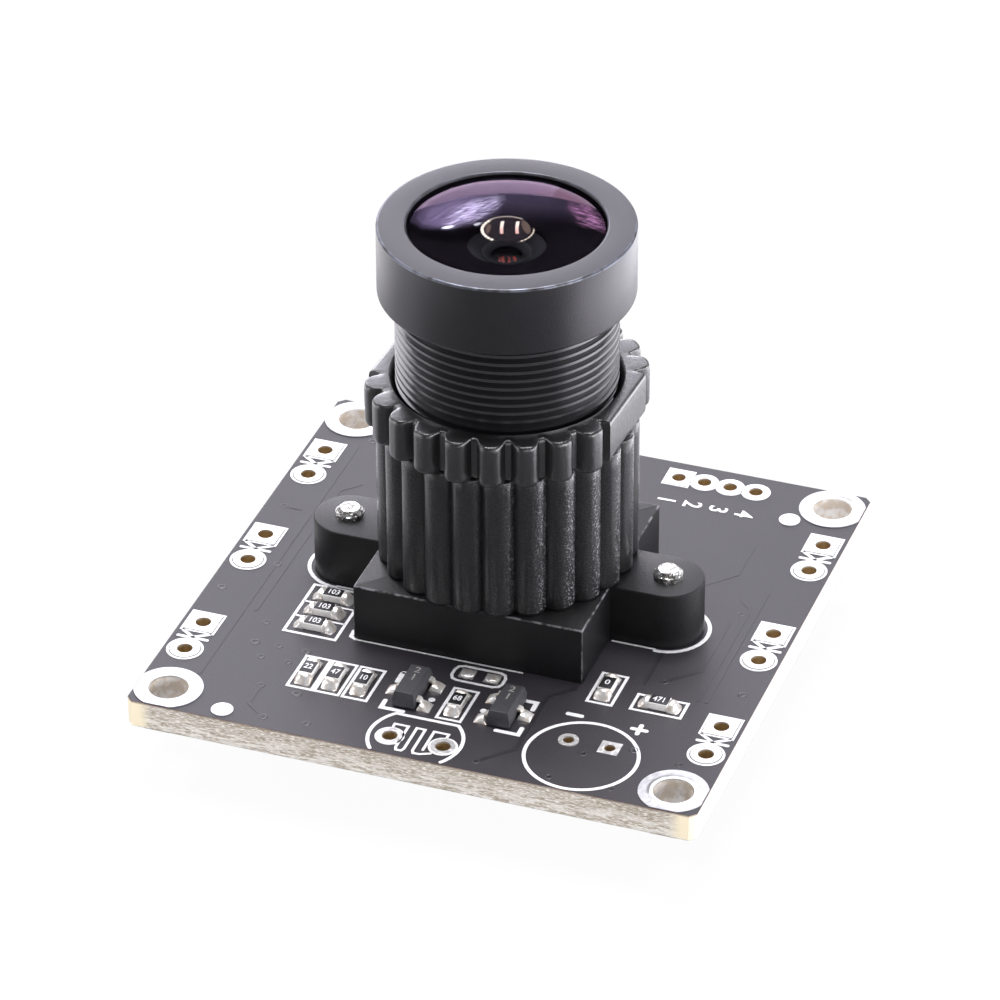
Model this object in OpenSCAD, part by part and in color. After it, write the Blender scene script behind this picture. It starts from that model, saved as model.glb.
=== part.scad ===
// USB board camera: a square circuit board, a ribbed lens holder screwed to it
// from below, and an M12 wide-angle lens held by a scalloped lock ring.
// Millimetres. The lens axis is Z, the board's component face is z = 0, and
// the edge nearest the light-sensor pads is the front, towards -Y.

/* [Circuit board] */
// Side of the square board
board_w = 32; // [31:0.5:36]
// Thickness of the board
board_t = 1.6; // [1:0.2:2.4]
// Corner cut of the board
board_corner = 0.35; // [0.2:0.05:0.6]
// Distance from a corner hole's centre to the board's two edges
corner_inset = 1.775; // [1.75:0.005:2.5]
// Diameter of a corner hole inside its plating
corner_hole_d = 2.2; // [1.8:0.1:2.4]
// Outer diameter of a corner hole's ring
corner_ring_d = 3.76; // [3.2:0.02:4.2]
// Thickness of the copper and its plating
plating_t = 0.05; // [0.03:0.01:0.08]

/* [Solder pads] */
// Width of a light pad, square or round
led_pad_w = 1.66; // [1.4:0.02:1.9]
// Diameter of a light pad's hole
led_hole_d = 0.87; // [0.6:0.01:1]
// Distance from a light pad's centre to the board's side
led_pad_inset = 1.2; // [1:0.05:1.6]
// Distance between the two pads of a pair
led_pair_pitch = 2.66; // [2.2:0.02:3]
// Distance from the corner holes to the middle of the next pair of pads
led_pair_inset = 5.025; // [4.4:0.025:6]
// Width of a cable pad
usb_pad_w = 1.5; // [1.3:0.02:1.5]
// Diameter of a cable pad's hole
usb_hole_d = 0.8; // [0.6:0.02:0.9]
// Distance between the cable pads
usb_pad_pitch = 1.52; // [1.52:0.02:1.8]
// Distance from the cable pads to the board's back edge
usb_pad_inset = 1.53; // [1.2:0.01:1.8]
// Distance from the middle of the cable pads to the corner hole beside them
usb_pad_offset = 6.855; // [5:0.005:9]
// Distance between the light sensor's pads
sensor_pad_pitch = 3; // [2.5:0.1:3.5]
// Distance from the light sensor's pads to the board's front edge
sensor_pad_inset = 1.54; // [1.2:0.01:1.8]
// Distance between the reservoir capacitor's pads
reservoir_pitch = 2.3; // [2:0.1:2.6]
// Distance from the reservoir capacitor's pads to the board's front edge
reservoir_inset = 4.3; // [3.6:0.1:5]

/* [Lens holder] */
// Side of the square foot
foot_w = 13.1; // [12.6:0.1:13.6]
// Height of the foot and of its ears
foot_h = 3.4; // [3:0.1:4]
// Width of an ear
ear_w = 4; // [3.4:0.1:4.6]
// Distance between the two screws in the ears
ear_pitch = 18.4; // [17.6:0.1:19.4]
// Height of the holder's top above the board
holder_h = 11.95; // [11:0.05:13]
// Diameter over the crests of the ribs
rib_tip_d = 14.24; // [14:0.02:14.6]
// Number of ribs round the barrel
rib_count = 24; // [20:1:26]
// Radius of a rib's rounded back
rib_r = 0.95; // [0.92:0.01:1.1]
// Height of the sensor chamber inside the foot
chamber_h = 2.3; // [2.1:0.1:2.5]
// Wall of the sensor chamber
chamber_wall = 1.25; // [1:0.05:1.5]
// Diameter of a holder screw
screw_d = 1.6; // [1.4:0.1:1.8]
// Diameter of a holder screw's head
screw_head_d = 3.2; // [2.6:0.1:3.6]
// Height of a holder screw's head
screw_head_h = 1.1; // [0.8:0.1:1.3]
// How far a screw's end stands out of its ear
screw_proud = 0.5; // [0.1:0.1:0.8]

/* [Lens] */
// Outer diameter of the lens thread
thread_d = 12; // [12:0.01:12.1]
// Pitch of the lens thread
thread_pitch = 0.5; // [0.4:0.1:0.6]
// Depth of the lens thread
thread_depth = 0.27; // [0.2:0.01:0.3]
// Height of the lens barrel's rear end above the board
lens_rear_z = 4.6; // [4.2:0.1:5]
// Distance from the underside of the head to the lens barrel's rear end
stem_l = 15.12; // [14:0.02:16]
// Diameter of the head
head_d = 13.82; // [13.4:0.02:14.2]
// Height of the head
head_h = 4; // [3.4:0.1:5]
// Diameter of the opening in the head's face
face_d = 10.6; // [10.2:0.1:11]
// Bevel on the head's edges
head_bevel = 0.16; // [0.1:0.02:0.3]
// Depth of the front glass's rim below the head's face
rim_recess = 0.2; // [0.1:0.05:0.4]
// Thickness of the front glass at its rim
rim_t = 1.2; // [1.1:0.1:1.5]
// Radius of the front glass's outer face
front_face_r = 17; // [14:0.5:24]
// Diameter of the inner lenses
cell_d = 7; // [6.6:0.1:7.4]
// Diameter of the aperture
aperture_d = 2; // [1.4:0.1:2.6]

/* [Lock ring] */
// Diameter over the ring's lobes
ring_d = 15.4; // [15:0.05:15.8]
// Height of the ring
ring_h = 2.55; // [2:0.05:3]
// Distance across the ring's two flats, and its diameter between lobes
ring_flat_w = 13.86; // [13.6:0.02:14.2]
// Number of lobe places round the ring, some of them cut away by the flats
lobe_count = 24; // [20:2:28]
// Angle that the ring happens to stand at
ring_angle = -2.5; // [-7.5:0.5:7.5]

/* [Parts on the top] */
// Length of a chip resistor
chip_l = 1.6; // [1.4:0.05:1.8]
// Width of a chip resistor
chip_w = 0.8; // [0.6:0.05:0.9]
// Height of a chip resistor
chip_h = 0.45; // [0.35:0.05:0.6]
// Length of a transistor's body
sot_l = 2.9; // [2.7:0.1:3]
// Width of a transistor's body
sot_w = 1.3; // [1.2:0.05:1.6]
// Height of a transistor's body
sot_h = 1; // [0.8:0.05:1.1]

/* [Parts underneath] */
// How far the tallest parts stand below the board
under_h = 3.4; // [3.2:0.1:4]
// Side of the camera controller's body
controller_w = 7; // [6.4:0.1:7.4]
// Thickness of the camera controller's body
controller_t = 1.4; // [1:0.1:1.6]
// Number of leads on each side of the controller
controller_leads_per_side = 12; // [10:1:13]
// Distance between the controller's leads
controller_lead_pitch = 0.5; // [0.4:0.05:0.5]
// Width of the cable connector
connector_w = 8.2; // [8:0.1:9]
// Depth of the cable connector
connector_l = 5.2; // [4.8:0.1:5.6]
// Distance between the connector's contacts
contact_pitch = 1.25; // [1:0.05:1.4]
// Length of the crystal
crystal_l = 11; // [10:0.1:11.4]
// Width of the crystal
crystal_w = 4.7; // [4.2:0.1:5]

/* [Fits] */
// Gap between a thread's crest and the bore that it runs in
thread_gap = 0.03; // [0.02:0.01:0.06]
// Gap round a piece that is dropped into its pocket
seat_gap = 0.05; // [0.03:0.01:0.08]

/* [Hidden] */
$fn = 64;

// Places on the board
edge = board_w / 2;
corner_x = edge - corner_inset;
corner_places = [for (sx = [-1, 1], sy = [-1, 1]) [sx, sy] * corner_x];
led_pad_x = edge - led_pad_inset;
led_pair_step = corner_x - led_pair_inset;
led_square_places = [for (sx = [-1, 1], k = [-1, 0, 1])
    [sx * led_pad_x, k * led_pair_step + led_pair_pitch / 2]];
led_round_places = [for (sx = [-1, 1], k = [-1, 0, 1])
    [sx * led_pad_x, k * led_pair_step - led_pair_pitch / 2]];
usb_row_x = corner_x - usb_pad_offset;
usb_places = [for (k = [0:3]) [usb_row_x + (k - 1.5) * usb_pad_pitch, edge - usb_pad_inset]];
light_sensor_places = [for (s = [-1, 1]) [s * sensor_pad_pitch / 2, sensor_pad_inset - edge]];
light_pad_w = 1.36;
light_hole_d = 0.85;
reservoir_x = corner_x - 5.525;
reservoir_pad_w = 1.12;
reservoir_hole_d = 0.62;
reservoir_places = [for (s = [-1, 1])
    [reservoir_x + s * reservoir_pitch / 2, reservoir_inset - edge]];

// Bare lands: two alignment marks and the two lands of an empty place
fiducial_r = 0.6;
fiducial_front = [3.465, 0.945];
fiducial_back = [1.945, 1.835];
fiducial_places = [[fiducial_front[0] - corner_x, -corner_x - fiducial_front[1]],
    [corner_x - fiducial_back[0], corner_x - fiducial_back[1]]];
empty_place = [1.16, -7.74];
empty_land_pitch = 1.42;
empty_land_w = 0.82;

// Chip resistors on the top: x, y and the turn of each
front_row_y = -10.45;
side_chip_x = led_pad_x - 3.7;
chip_places = [
    [-8.92, -3.35, 0], [-8.92, -4.8, 0], [-8.92, -6.25, 0],
    [-7.65, front_row_y, 90], [-6.11, front_row_y, 90], [-4.5, front_row_y, 90],
    [0.91, front_row_y - 0.15, 90], [7.97, -6.55, 90], [side_chip_x, -7.15, 0]];
film_t = 0.03;
chip_end_l = 0.28;
joint_l = 0.34;
joint_h = 0.3;

// Three-legged parts: x, y and the turn of each, single leg towards the turn
transistor_places = [[-1.7, front_row_y, 180], [3.65, front_row_y, 0]];
regulator_x = 4.4 - led_pad_x;
regulator_places = [[regulator_x, 4.2, 90], [regulator_x, -9.6, 90]];
sot_leg_pitch = 1.9;
sot_leg_w = 0.42;
sot_leg_t = 0.12;
sot_leg_reach = 0.55;
sot_standoff = 0.05;
mould_lean = 0.08;

// Lens holder
ear_x = ear_pitch / 2;
bore_r = thread_d / 2 + thread_gap;
rib_centre_r = rib_tip_d / 2 - rib_r;
rib_core_r = rib_centre_r * cos(180 / rib_count)
    + sqrt(pow(rib_r, 2) - pow(rib_centre_r * sin(180 / rib_count), 2)) - 0.01;
rib_foot_bevel = 0.3;
rib_top_bevel = 0.16;
chamber_w = foot_w - 2 * chamber_wall;
filter_w = 9;
filter_t = 0.6;
screw_clear_r = screw_d / 2 + 0.25;
screw_tip_bevel = 0.25;
screw_slot_w = 0.4;
screw_slot_d = 0.6;

// Image sensor
package_w = 8.4;
package_t = 1;
package_wall = 0.9;
package_floor = 0.35;
die_size = [6, 4.2, 0.3];
glass_w = package_w - 2 * package_wall + 0.9;
glass_t = 0.4;

// Lens stack, from the front down
head_z = lens_rear_z + stem_l;
face_z = head_z + head_h;
rim_z = face_z - rim_recess;
seat_z = rim_z - rim_t;
glass_r = face_d / 2 - seat_gap;
hollow_mouth_r = 2.95;
hollow_r = 4.2;
cell_r = cell_d / 2;
cell_bore_r = cell_r + seat_gap;
lip_t = 0.9;
lip_z = seat_z - lip_t;
o_ring_r = 0.2;
o_ring_centre_r = (hollow_mouth_r + glass_r) / 2 + 0.3;
second_t = 1.2;
front_spacer_t = 1.6;
stop_t = 0.2;
flint_t = 1.2;
crown_t = 1.4;
middle_spacer_t = 3;
fifth_t = 2;
rear_element_t = 2.2;
retainer_t = 2;
retainer_r = cell_r + 0.9;
clear_r = cell_r - 0.8;
second_front_r = 16;
second_hollow_r = 4.5;
flint_hollow_r = 7;
crown_back_r = 9;
fifth_front_r = 11;
fifth_back_r = 14;
rear_front_r = 10;
rear_hollow_r = 9;
second_z = lip_z - second_t;
front_spacer_z = second_z - front_spacer_t;
stop_z = front_spacer_z - stop_t;
flint_z = stop_z - flint_t;
crown_z = flint_z - crown_t;
middle_spacer_z = crown_z - middle_spacer_t;
fifth_z = middle_spacer_z - fifth_t;
rear_element_z = lens_rear_z + retainer_t;
rear_spacer_z = rear_element_z + rear_element_t;

// Thread ridges stand between the lock ring and the head
ring_top_z = holder_h + ring_h;
ridge_count = floor((head_z - ring_top_z) / thread_pitch) + 1;
ridge_start_z = head_z - ridge_count * thread_pitch;
ridge_crest_h = 0.08;
ridge_flank_h = 0.16;

// Lock ring
ring_root_r = ring_flat_w / 2;
ring_countersink = 0.36;
ring_bevel = 0.2;
lobe_points = 14;

// Parts underneath
lead_t = 0.12;
controller_standoff = 0.1;
controller_lead_w = 0.22;
controller_lead_reach = 1;
controller_reach = controller_w / 2 + controller_lead_reach;
flash_place = [led_pad_x - 4.5, 6.6];
flash_size = [3.9, 4.9, 1.5];
flash_lead_pitch = 1.27;
flash_lead_w = 0.4;
flash_lead_reach = 1.05;
crystal_gap = 1.25;
crystal_pad_gap = 0.49;
crystal_end_x = reservoir_x - (reservoir_pitch + reservoir_pad_w) / 2 - crystal_pad_gap;
crystal_x = crystal_end_x - crystal_l / 2;
crystal_y = -(controller_reach + crystal_gap + crystal_w / 2);
crystal_place = [crystal_x, crystal_y];
crystal_base_t = 0.7;
crystal_flange_t = 0.4;
crystal_flange = 0.45;
crystal_edge_r = 0.6;
connector_x = -1.5;
connector_overhang = 0.3;
connector_wall = 0.65;
connector_back_t = 1.2;
contact_count = 4;
contact_w = 0.4;
contact_tail = 0.8;
tab_size = [0.6, 2.4, 1.2];
inductor_place = [4.6 - led_pad_x, 8.9];
inductor_w = 4;
inductor_h = 1.8;
inductor_terminal_w = 1.6;
inductor_terminal_t = 0.2;
capacitor_h = 0.8;
capacitor_gap = 1.5;
capacitor_side_x = controller_reach + 1.2 + chip_w / 2;
capacitor_back_y = controller_reach + capacitor_gap + chip_w / 2;
capacitor_front_y = crystal_y - crystal_w / 2 - capacitor_gap - chip_w / 2;
capacitor_side_y = 2.6;
capacitor_edge_x = led_pad_x - 4.2;
capacitor_edge_y = 4.4;
capacitor_edge_step = 2.1;
capacitor_places = concat(
    [for (sx = [-1, 1], sy = [-1, 1]) [sx * capacitor_side_x, sy * capacitor_side_y, 90]],
    [for (x = [-3.1, 0.3, 3.7], y = [capacitor_back_y, capacitor_front_y]) [x, y, 0]],
    [for (s = [-1, 1], k = [0, 1])
        [s * capacitor_edge_x, -capacitor_edge_y - k * capacitor_edge_step, 0]]);

// ---- shared shapes ----

// Puts children at each [x, y] of a list
module at_places(places) {
    for (p = places) translate(p) children();
}

// Puts children, drawn as if they stood on the top, under the board
module underneath() {
    translate([0, 0, -board_t]) mirror([0, 0, 1]) children();
}

// A box that stands on z = 0, centred on the other two axes
module block(size) {
    translate([0, 0, size[2] / 2]) cube(size, center = true);
}

// A round tube that stands on z = 0
module tube(outer_r, inner_r, h) {
    difference() {
        cylinder(r = outer_r, h = h);
        translate([0, 0, -1]) cylinder(r = inner_r, h = h + 2);
    }
}

// The board's outline, a square with cut corners, drawn in by inset
module board_outline(inset = 0) {
    w = edge - inset;
    c = board_corner;
    polygon([[-w + c, -w], [w - c, -w], [w, -w + c], [w, w - c],
        [w - c, w], [-w + c, w], [-w, w - c], [-w, -w + c]]);
}

// A plated hole: a pad on each face, joined by the plated wall of the hole
module plated_hole(pad_w, hole_d, square_pad = false) {
    difference() {
        union() {
            translate([0, 0, -board_t - plating_t])
                cylinder(d = hole_d + 2 * plating_t, h = board_t + 2 * plating_t);
            for (z = [-board_t - plating_t, 0]) translate([0, 0, z]) {
                if (square_pad) block([pad_w, pad_w, plating_t]);
                else cylinder(d = pad_w, h = plating_t);
            }
        }
        translate([0, 0, -board_t - 1]) cylinder(d = hole_d, h = board_t + 2);
    }
}

// A lead that leaves a body's side at x = 0, steps down and ends in a flat foot
module gull_lead(width, reach, drop, t) {
    shoulder = reach * 0.25;
    slope = reach * 0.15;
    rotate([90, 0, 0]) translate([0, 0, -width / 2]) linear_extrude(width)
        polygon([[0, drop], [shoulder, drop], [shoulder + slope, 0], [reach, 0],
            [reach, t], [shoulder + slope + t, t], [shoulder + t, drop + t], [0, drop + t]]);
}

// The body of a moulded part: its sides lean in above and below the leads
module moulded_body(l, w, h, standoff) {
    lean = mould_lean;
    middle = h / 2;
    rotate([90, 0, 0]) translate([0, 0, -w / 2]) linear_extrude(w)
        polygon([[-l / 2 + lean, standoff], [l / 2 - lean, standoff], [l / 2, middle],
            [l / 2, middle + lead_t], [l / 2 - lean, h], [-l / 2 + lean, h],
            [-l / 2, middle + lead_t], [-l / 2, middle]]);
}

// ---- circuit board ----

module circuit_board() {
    color("#2b292e") difference() {
        translate([0, 0, -board_t]) linear_extrude(board_t) board_outline();
        at_places(corner_places) drill(corner_hole_d);
        at_places(led_square_places) drill(led_hole_d);
        at_places(led_round_places) drill(led_hole_d);
        at_places(usb_places) drill(usb_hole_d);
        at_places(light_sensor_places) drill(light_hole_d);
        at_places(reservoir_places) drill(reservoir_hole_d);
        for (s = [-1, 1]) translate([s * ear_x, 0, -board_t - 1])
            cylinder(r = screw_clear_r, h = board_t + 2);
    }
}

// The drilled hole that a plated hole's wall fills to its finished diameter
module drill(hole_d) {
    translate([0, 0, -board_t - 1]) cylinder(d = hole_d + 2 * plating_t, h = board_t + 2);
}

module corner_hole_rings() {
    color("#dcdcda") intersection() {
        at_places(corner_places) plated_hole(corner_ring_d, corner_hole_d);
        translate([0, 0, -board_t - 1]) linear_extrude(board_t + 2) board_outline(0.04);
    }
}

module led_pads() {
    color("#dcdcda") {
        at_places(led_square_places) plated_hole(led_pad_w, led_hole_d, true);
        at_places(led_round_places) plated_hole(led_pad_w, led_hole_d);
    }
}

module usb_pads() {
    color("#dcdcda") for (k = [0:3])
        translate(usb_places[k]) plated_hole(usb_pad_w, usb_hole_d, k == 0);
}

module light_sensor_pads() {
    color("#dcdcda") at_places(light_sensor_places) plated_hole(light_pad_w, light_hole_d);
}

module capacitor_pads() {
    color("#dcdcda") for (k = [0, 1])
        translate(reservoir_places[k]) plated_hole(reservoir_pad_w, reservoir_hole_d, k == 1);
}

module solder_lands() {
    color("#dcdcda") {
        at_places(fiducial_places) cylinder(r = fiducial_r, h = plating_t);
        for (s = [-1, 1]) translate([empty_place[0] + s * empty_land_pitch / 2, empty_place[1], 0])
            block([empty_land_w, empty_land_w, plating_t]);
    }
}

// ---- small parts on the top ----

module at_chips(places) {
    for (p = places) translate([p[0], p[1], 0]) rotate(p[2]) children();
}

module chip_body(h) {
    block([chip_l - 2 * chip_end_l, chip_w, h]);
}

// The metal caps of a chip part
module chip_ends(h) {
    for (s = [-1, 1]) translate([s * (chip_l - chip_end_l) / 2, 0, 0])
        block([chip_end_l, chip_w, h]);
}

module chip_resistor_bodies() {
    color("#e6e4df") at_chips(chip_places) chip_body(chip_h - film_t);
}

module chip_resistor_films() {
    color("#17171a") at_chips(chip_places) translate([0, 0, chip_h - film_t])
        block([chip_l - 2 * chip_end_l, chip_w, film_t]);
}

module chip_resistor_ends() {
    color("#cfcfcd") at_chips(chip_places) chip_ends(chip_h);
}

// The solder that rises from the board to a chip's end
module chip_joints() {
    joint_w = chip_w * 0.9;
    for (a = [0, 180]) rotate(a) translate([chip_l / 2, joint_w / 2, 0]) rotate([90, 0, 0])
        linear_extrude(joint_w)
            polygon([[0, 0], [joint_l, 0], [joint_l * 0.4, joint_h * 0.35], [0, joint_h]]);
}

module solder_joints() {
    color("#c9c9c8") {
        at_chips(chip_places) chip_joints();
        underneath() at_chips(capacitor_places) chip_joints();
    }
}

// Where a three-legged part's legs leave it: the side and the place along it
sot_legs = [[0, 0], [180, sot_leg_pitch / 2], [180, -sot_leg_pitch / 2]];

module sot_bodies(places) {
    at_chips(places) rotate(90) moulded_body(sot_l, sot_w, sot_h, sot_standoff);
}

module sot_leads(places) {
    at_chips(places) for (leg = sot_legs)
        rotate(leg[0]) translate([sot_w / 2, leg[1], 0])
            gull_lead(sot_leg_w, sot_leg_reach, sot_h / 2, sot_leg_t);
}

module transistor_bodies() {
    color("#26262a") sot_bodies(transistor_places);
}

module transistor_leads() {
    color("#c9c9c8") sot_leads(transistor_places);
}

// ---- lens holder ----

// The ribbed barrel, solid: a ring of rounded ribs whose ends are bevelled
module ribbed_barrel() {
    h = holder_h - foot_h;
    tip_r = rib_tip_d / 2;
    intersection() {
        linear_extrude(h) union() {
            circle(r = rib_core_r);
            for (k = [0:rib_count - 1]) rotate(k * 360 / rib_count)
                translate([rib_centre_r, 0]) circle(r = rib_r, $fn = 48);
        }
        rotate_extrude() polygon([[0, 0], [tip_r - rib_foot_bevel, 0], [tip_r + 0.01, rib_foot_bevel],
            [tip_r + 0.01, h - rib_top_bevel], [tip_r - rib_top_bevel, h], [0, h]]);
    }
}

// The square foot with an ear on each side
module foot() {
    block([foot_w, foot_w, foot_h]);
    block([ear_pitch, ear_w, foot_h]);
    for (s = [-1, 1]) translate([s * ear_x, 0, 0]) cylinder(d = ear_w, h = foot_h);
}

module lens_holder() {
    ledge_z = chamber_h + filter_t;
    filter_pocket_w = filter_w + 2 * seat_gap;
    window_w = filter_w - 1;
    color("#1d1d1f") difference() {
        union() {
            foot();
            translate([0, 0, foot_h]) ribbed_barrel();
        }
        translate([0, 0, foot_h]) cylinder(r = bore_r, h = holder_h, $fn = 96);
        translate([0, 0, -1]) block([chamber_w, chamber_w, chamber_h + 1]);
        translate([0, 0, -1]) block([filter_pocket_w, filter_pocket_w, ledge_z + 1]);
        block([window_w, window_w, foot_h + 1]);
        for (s = [-1, 1]) translate([s * ear_x, 0, -1]) cylinder(d = screw_d, h = foot_h + 2);
    }
}

// Half section of a holder screw, from its head under the board to its tip
module screw_section() {
    r = screw_d / 2;
    head_r = screw_head_d / 2;
    head_edge = 0.3;
    head_bottom_z = -board_t - screw_head_h;
    tip_z = foot_h + screw_proud;
    polygon([[0, head_bottom_z], [head_r - head_edge, head_bottom_z],
        [head_r, head_bottom_z + head_edge], [head_r, -board_t], [r, -board_t],
        [r, tip_z - screw_tip_bevel], [r - screw_tip_bevel, tip_z], [0, tip_z]]);
}

module holder_screws() {
    color("#d2d3d4") for (s = [-1, 1]) translate([s * ear_x, 0, 0]) difference() {
        rotate_extrude() screw_section();
        for (a = [0, 90]) rotate(a) translate([0, 0, -board_t - screw_head_h - 1])
            block([screw_head_d * 0.55, screw_slot_w, screw_slot_d + 1]);
    }
}

// ---- image sensor under the lens ----

module sensor_package() {
    well_w = package_w - 2 * package_wall;
    color("#3a3733") difference() {
        block([package_w, package_w, package_t]);
        translate([0, 0, package_floor]) block([well_w, well_w, package_t]);
        translate([0, 0, package_t - glass_t / 2]) block([glass_w, glass_w, package_t]);
    }
}

module sensor_die() {
    color("#4b5a70") translate([0, 0, package_floor]) block(die_size);
}

module sensor_cover_glass() {
    inner = glass_w - 2 * seat_gap;
    color("#a9c4c8") translate([0, 0, package_t - glass_t / 2]) block([inner, inner, glass_t]);
}

module ir_cut_filter() {
    color("#7fb6b4") translate([0, 0, chamber_h]) block([filter_w, filter_w, filter_t]);
}

// ---- lock ring ----

// Radius of the scalloped edge at an angle: round lobes with narrow notches
function lobe_edge_r(a) =
    let (t = abs(cos(a * lobe_count / 2)))
    ring_root_r + (ring_d / 2 - ring_root_r) * pow(t, 0.62);

// A flat takes the place of three lobes on each side
module ring_outline() {
    difference() {
        polygon([for (k = [0:lobe_count * lobe_points - 1])
            let (a = k * 360 / (lobe_count * lobe_points))
            lobe_edge_r(a) * [cos(a), sin(a)]]);
        for (s = [-1, 1]) translate([s * (ring_root_r + ring_d / 2), 0])
            square([ring_d, 2 * ring_root_r * tan(540 / lobe_count)], center = true);
    }
}

module lock_ring() {
    r = ring_d / 2;
    color("#222224") translate([0, 0, holder_h]) rotate(ring_angle) difference() {
        intersection() {
            linear_extrude(ring_h) ring_outline();
            rotate_extrude() polygon([[0, 0], [r - ring_bevel, 0], [r + 0.01, ring_bevel],
                [r + 0.01, ring_h - ring_bevel], [r - ring_bevel, ring_h], [0, ring_h]]);
        }
        translate([0, 0, -1]) cylinder(r = bore_r, h = ring_h + 2, $fn = 96);
        translate([0, 0, ring_h - ring_countersink])
            cylinder(r1 = bore_r, r2 = bore_r + ring_countersink, h = ring_countersink, $fn = 96);
        translate([0, 0, ring_h - 0.001])
            cylinder(r = bore_r + ring_countersink, h = 1, $fn = 96);
    }
}

// ---- lens ----

// Half section of the lens barrel's outside, from the rear end up to the face
function ridge_points() = [for (k = [0:ridge_count - 1])
    let (z = ridge_start_z + k * thread_pitch, root = thread_d / 2 - thread_depth)
    each [[root, z], [thread_d / 2, z + ridge_flank_h],
        [thread_d / 2, z + ridge_flank_h + ridge_crest_h],
        [root, z + 2 * ridge_flank_h + ridge_crest_h]]];

module barrel_section() {
    rear_bevel = 0.3;
    polygon(concat(
        [[0, lens_rear_z], [thread_d / 2 - rear_bevel, lens_rear_z],
            [thread_d / 2, lens_rear_z + rear_bevel],
            [thread_d / 2, ridge_start_z - ridge_flank_h],
            [thread_d / 2 - thread_depth, ridge_start_z - 0.01]],
        ridge_points(),
        [[thread_d / 2 - thread_depth, head_z], [head_d / 2 - head_bevel, head_z],
            [head_d / 2, head_z + head_bevel], [head_d / 2, face_z - head_bevel],
            [head_d / 2 - head_bevel, face_z], [0, face_z]]));
}

module lens_barrel() {
    mouth_bevel_z = face_z - head_bevel * 0.7;
    groove_r = o_ring_centre_r - o_ring_r - seat_gap;
    color("#1f1f21") rotate_extrude($fn = 96) difference() {
        barrel_section();
        translate([0, seat_z]) square([face_d / 2, head_h]);
        polygon([[0, mouth_bevel_z], [face_d / 2, mouth_bevel_z],
            [face_d / 2 + head_bevel, mouth_bevel_z + head_bevel], [0, face_z + 1]]);
        translate([0, lip_z - 1]) square([hollow_mouth_r, head_h]);
        translate([0, lens_rear_z]) square([cell_bore_r, lip_z - lens_rear_z]);
        translate([0, lens_rear_z - 1]) square([retainer_r + seat_gap, retainer_t + 1]);
        translate([groove_r, seat_z - 2 * o_ring_r]) square([2 * (o_ring_r + seat_gap), 1]);
    }
}

// Half section of the dome that a sphere of face_r raises over a flat rim at z.
// It reaches a little past the rim, so that it joins or cuts without a sliver.
module cap_section(rim_r, z, face_r) {
    reach = 0.05;
    intersection() {
        translate([0, z - sqrt(pow(face_r, 2) - pow(rim_r, 2))]) circle(r = face_r, $fn = 180);
        translate([0, z - reach]) square([rim_r, face_r]);
    }
}

// The same dome, hanging below z
module cup_section(rim_r, z, face_r) {
    translate([0, 2 * z]) mirror([0, 1]) cap_section(rim_r, z, face_r);
}

module front_element() {
    color("#6c5a78") rotate_extrude($fn = 96) difference() {
        union() {
            translate([0, seat_z]) square([glass_r, rim_t]);
            cap_section(glass_r, rim_z, front_face_r);
        }
        cap_section(hollow_mouth_r, seat_z, hollow_r);
    }
}

module front_o_ring() {
    color("#151515") rotate_extrude($fn = 96)
        translate([o_ring_centre_r, seat_z - o_ring_r]) circle(r = o_ring_r, $fn = 24);
}

// An inner lens with a flat flange round its faces. A face's radius is
// positive where the face is domed, negative where it is hollow, 0 where flat.
module inner_lens(z, t, front_r, back_r) {
    rotate_extrude($fn = 96) difference() {
        union() {
            translate([0, z]) square([cell_r, t]);
            if (front_r > 0) cap_section(clear_r, z + t, front_r);
            if (back_r > 0) cup_section(clear_r, z, back_r);
        }
        if (front_r < 0) cup_section(clear_r, z + t, -front_r);
        if (back_r < 0) cap_section(clear_r, z, -back_r);
    }
}

module spacer(z, t) {
    translate([0, 0, z]) tube(cell_r, clear_r, t);
}

module second_element() {
    color("#55606e") inner_lens(second_z, second_t, second_front_r, -second_hollow_r);
}

module front_spacer() {
    color("#26262a") spacer(front_spacer_z, front_spacer_t);
}

module aperture_stop() {
    color("#111113") translate([0, 0, stop_z]) tube(cell_r, aperture_d / 2, stop_t);
}

module doublet_flint() {
    color("#8a9c9a") inner_lens(flint_z, flint_t, -flint_hollow_r, 0);
}

module doublet_crown() {
    color("#8fa3a8") inner_lens(crown_z, crown_t, 0, crown_back_r);
}

module middle_spacer() {
    color("#26262a") spacer(middle_spacer_z, middle_spacer_t);
}

module fifth_element() {
    color("#8fa3a8") inner_lens(fifth_z, fifth_t, fifth_front_r, fifth_back_r);
}

module rear_spacer() {
    color("#26262a") spacer(rear_spacer_z, fifth_z - rear_spacer_z);
}

module rear_element() {
    color("#8fa3a8") inner_lens(rear_element_z, rear_element_t, rear_front_r, -rear_hollow_r);
}

module retaining_ring() {
    slot_w = 0.8;
    slot_d = 0.6;
    color("#1f1f21") translate([0, 0, lens_rear_z]) difference() {
        tube(retainer_r, clear_r, retainer_t);
        translate([0, 0, -1]) block([2 * retainer_r + 1, slot_w, slot_d + 1]);
    }
}

// ---- parts underneath ----

module camera_controller() {
    mark_r = 0.35;
    mark_depth = 0.06;
    mark_place = controller_w / 2 - 0.9;
    top_z = controller_standoff + controller_t;
    color("#242427") underneath() difference() {
        translate([0, 0, controller_standoff]) block([controller_w, controller_w, controller_t]);
        translate([mark_place, mark_place, top_z - mark_depth]) cylinder(r = mark_r, h = 1);
    }
}

module controller_leads() {
    span = (controller_leads_per_side - 1) / 2;
    color("#c9c9c8") underneath() for (side = [0:3], k = [-span:span])
        rotate(side * 90) translate([controller_w / 2, k * controller_lead_pitch, 0])
            gull_lead(controller_lead_w, controller_lead_reach,
                controller_standoff + controller_t / 2, lead_t);
}

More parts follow.
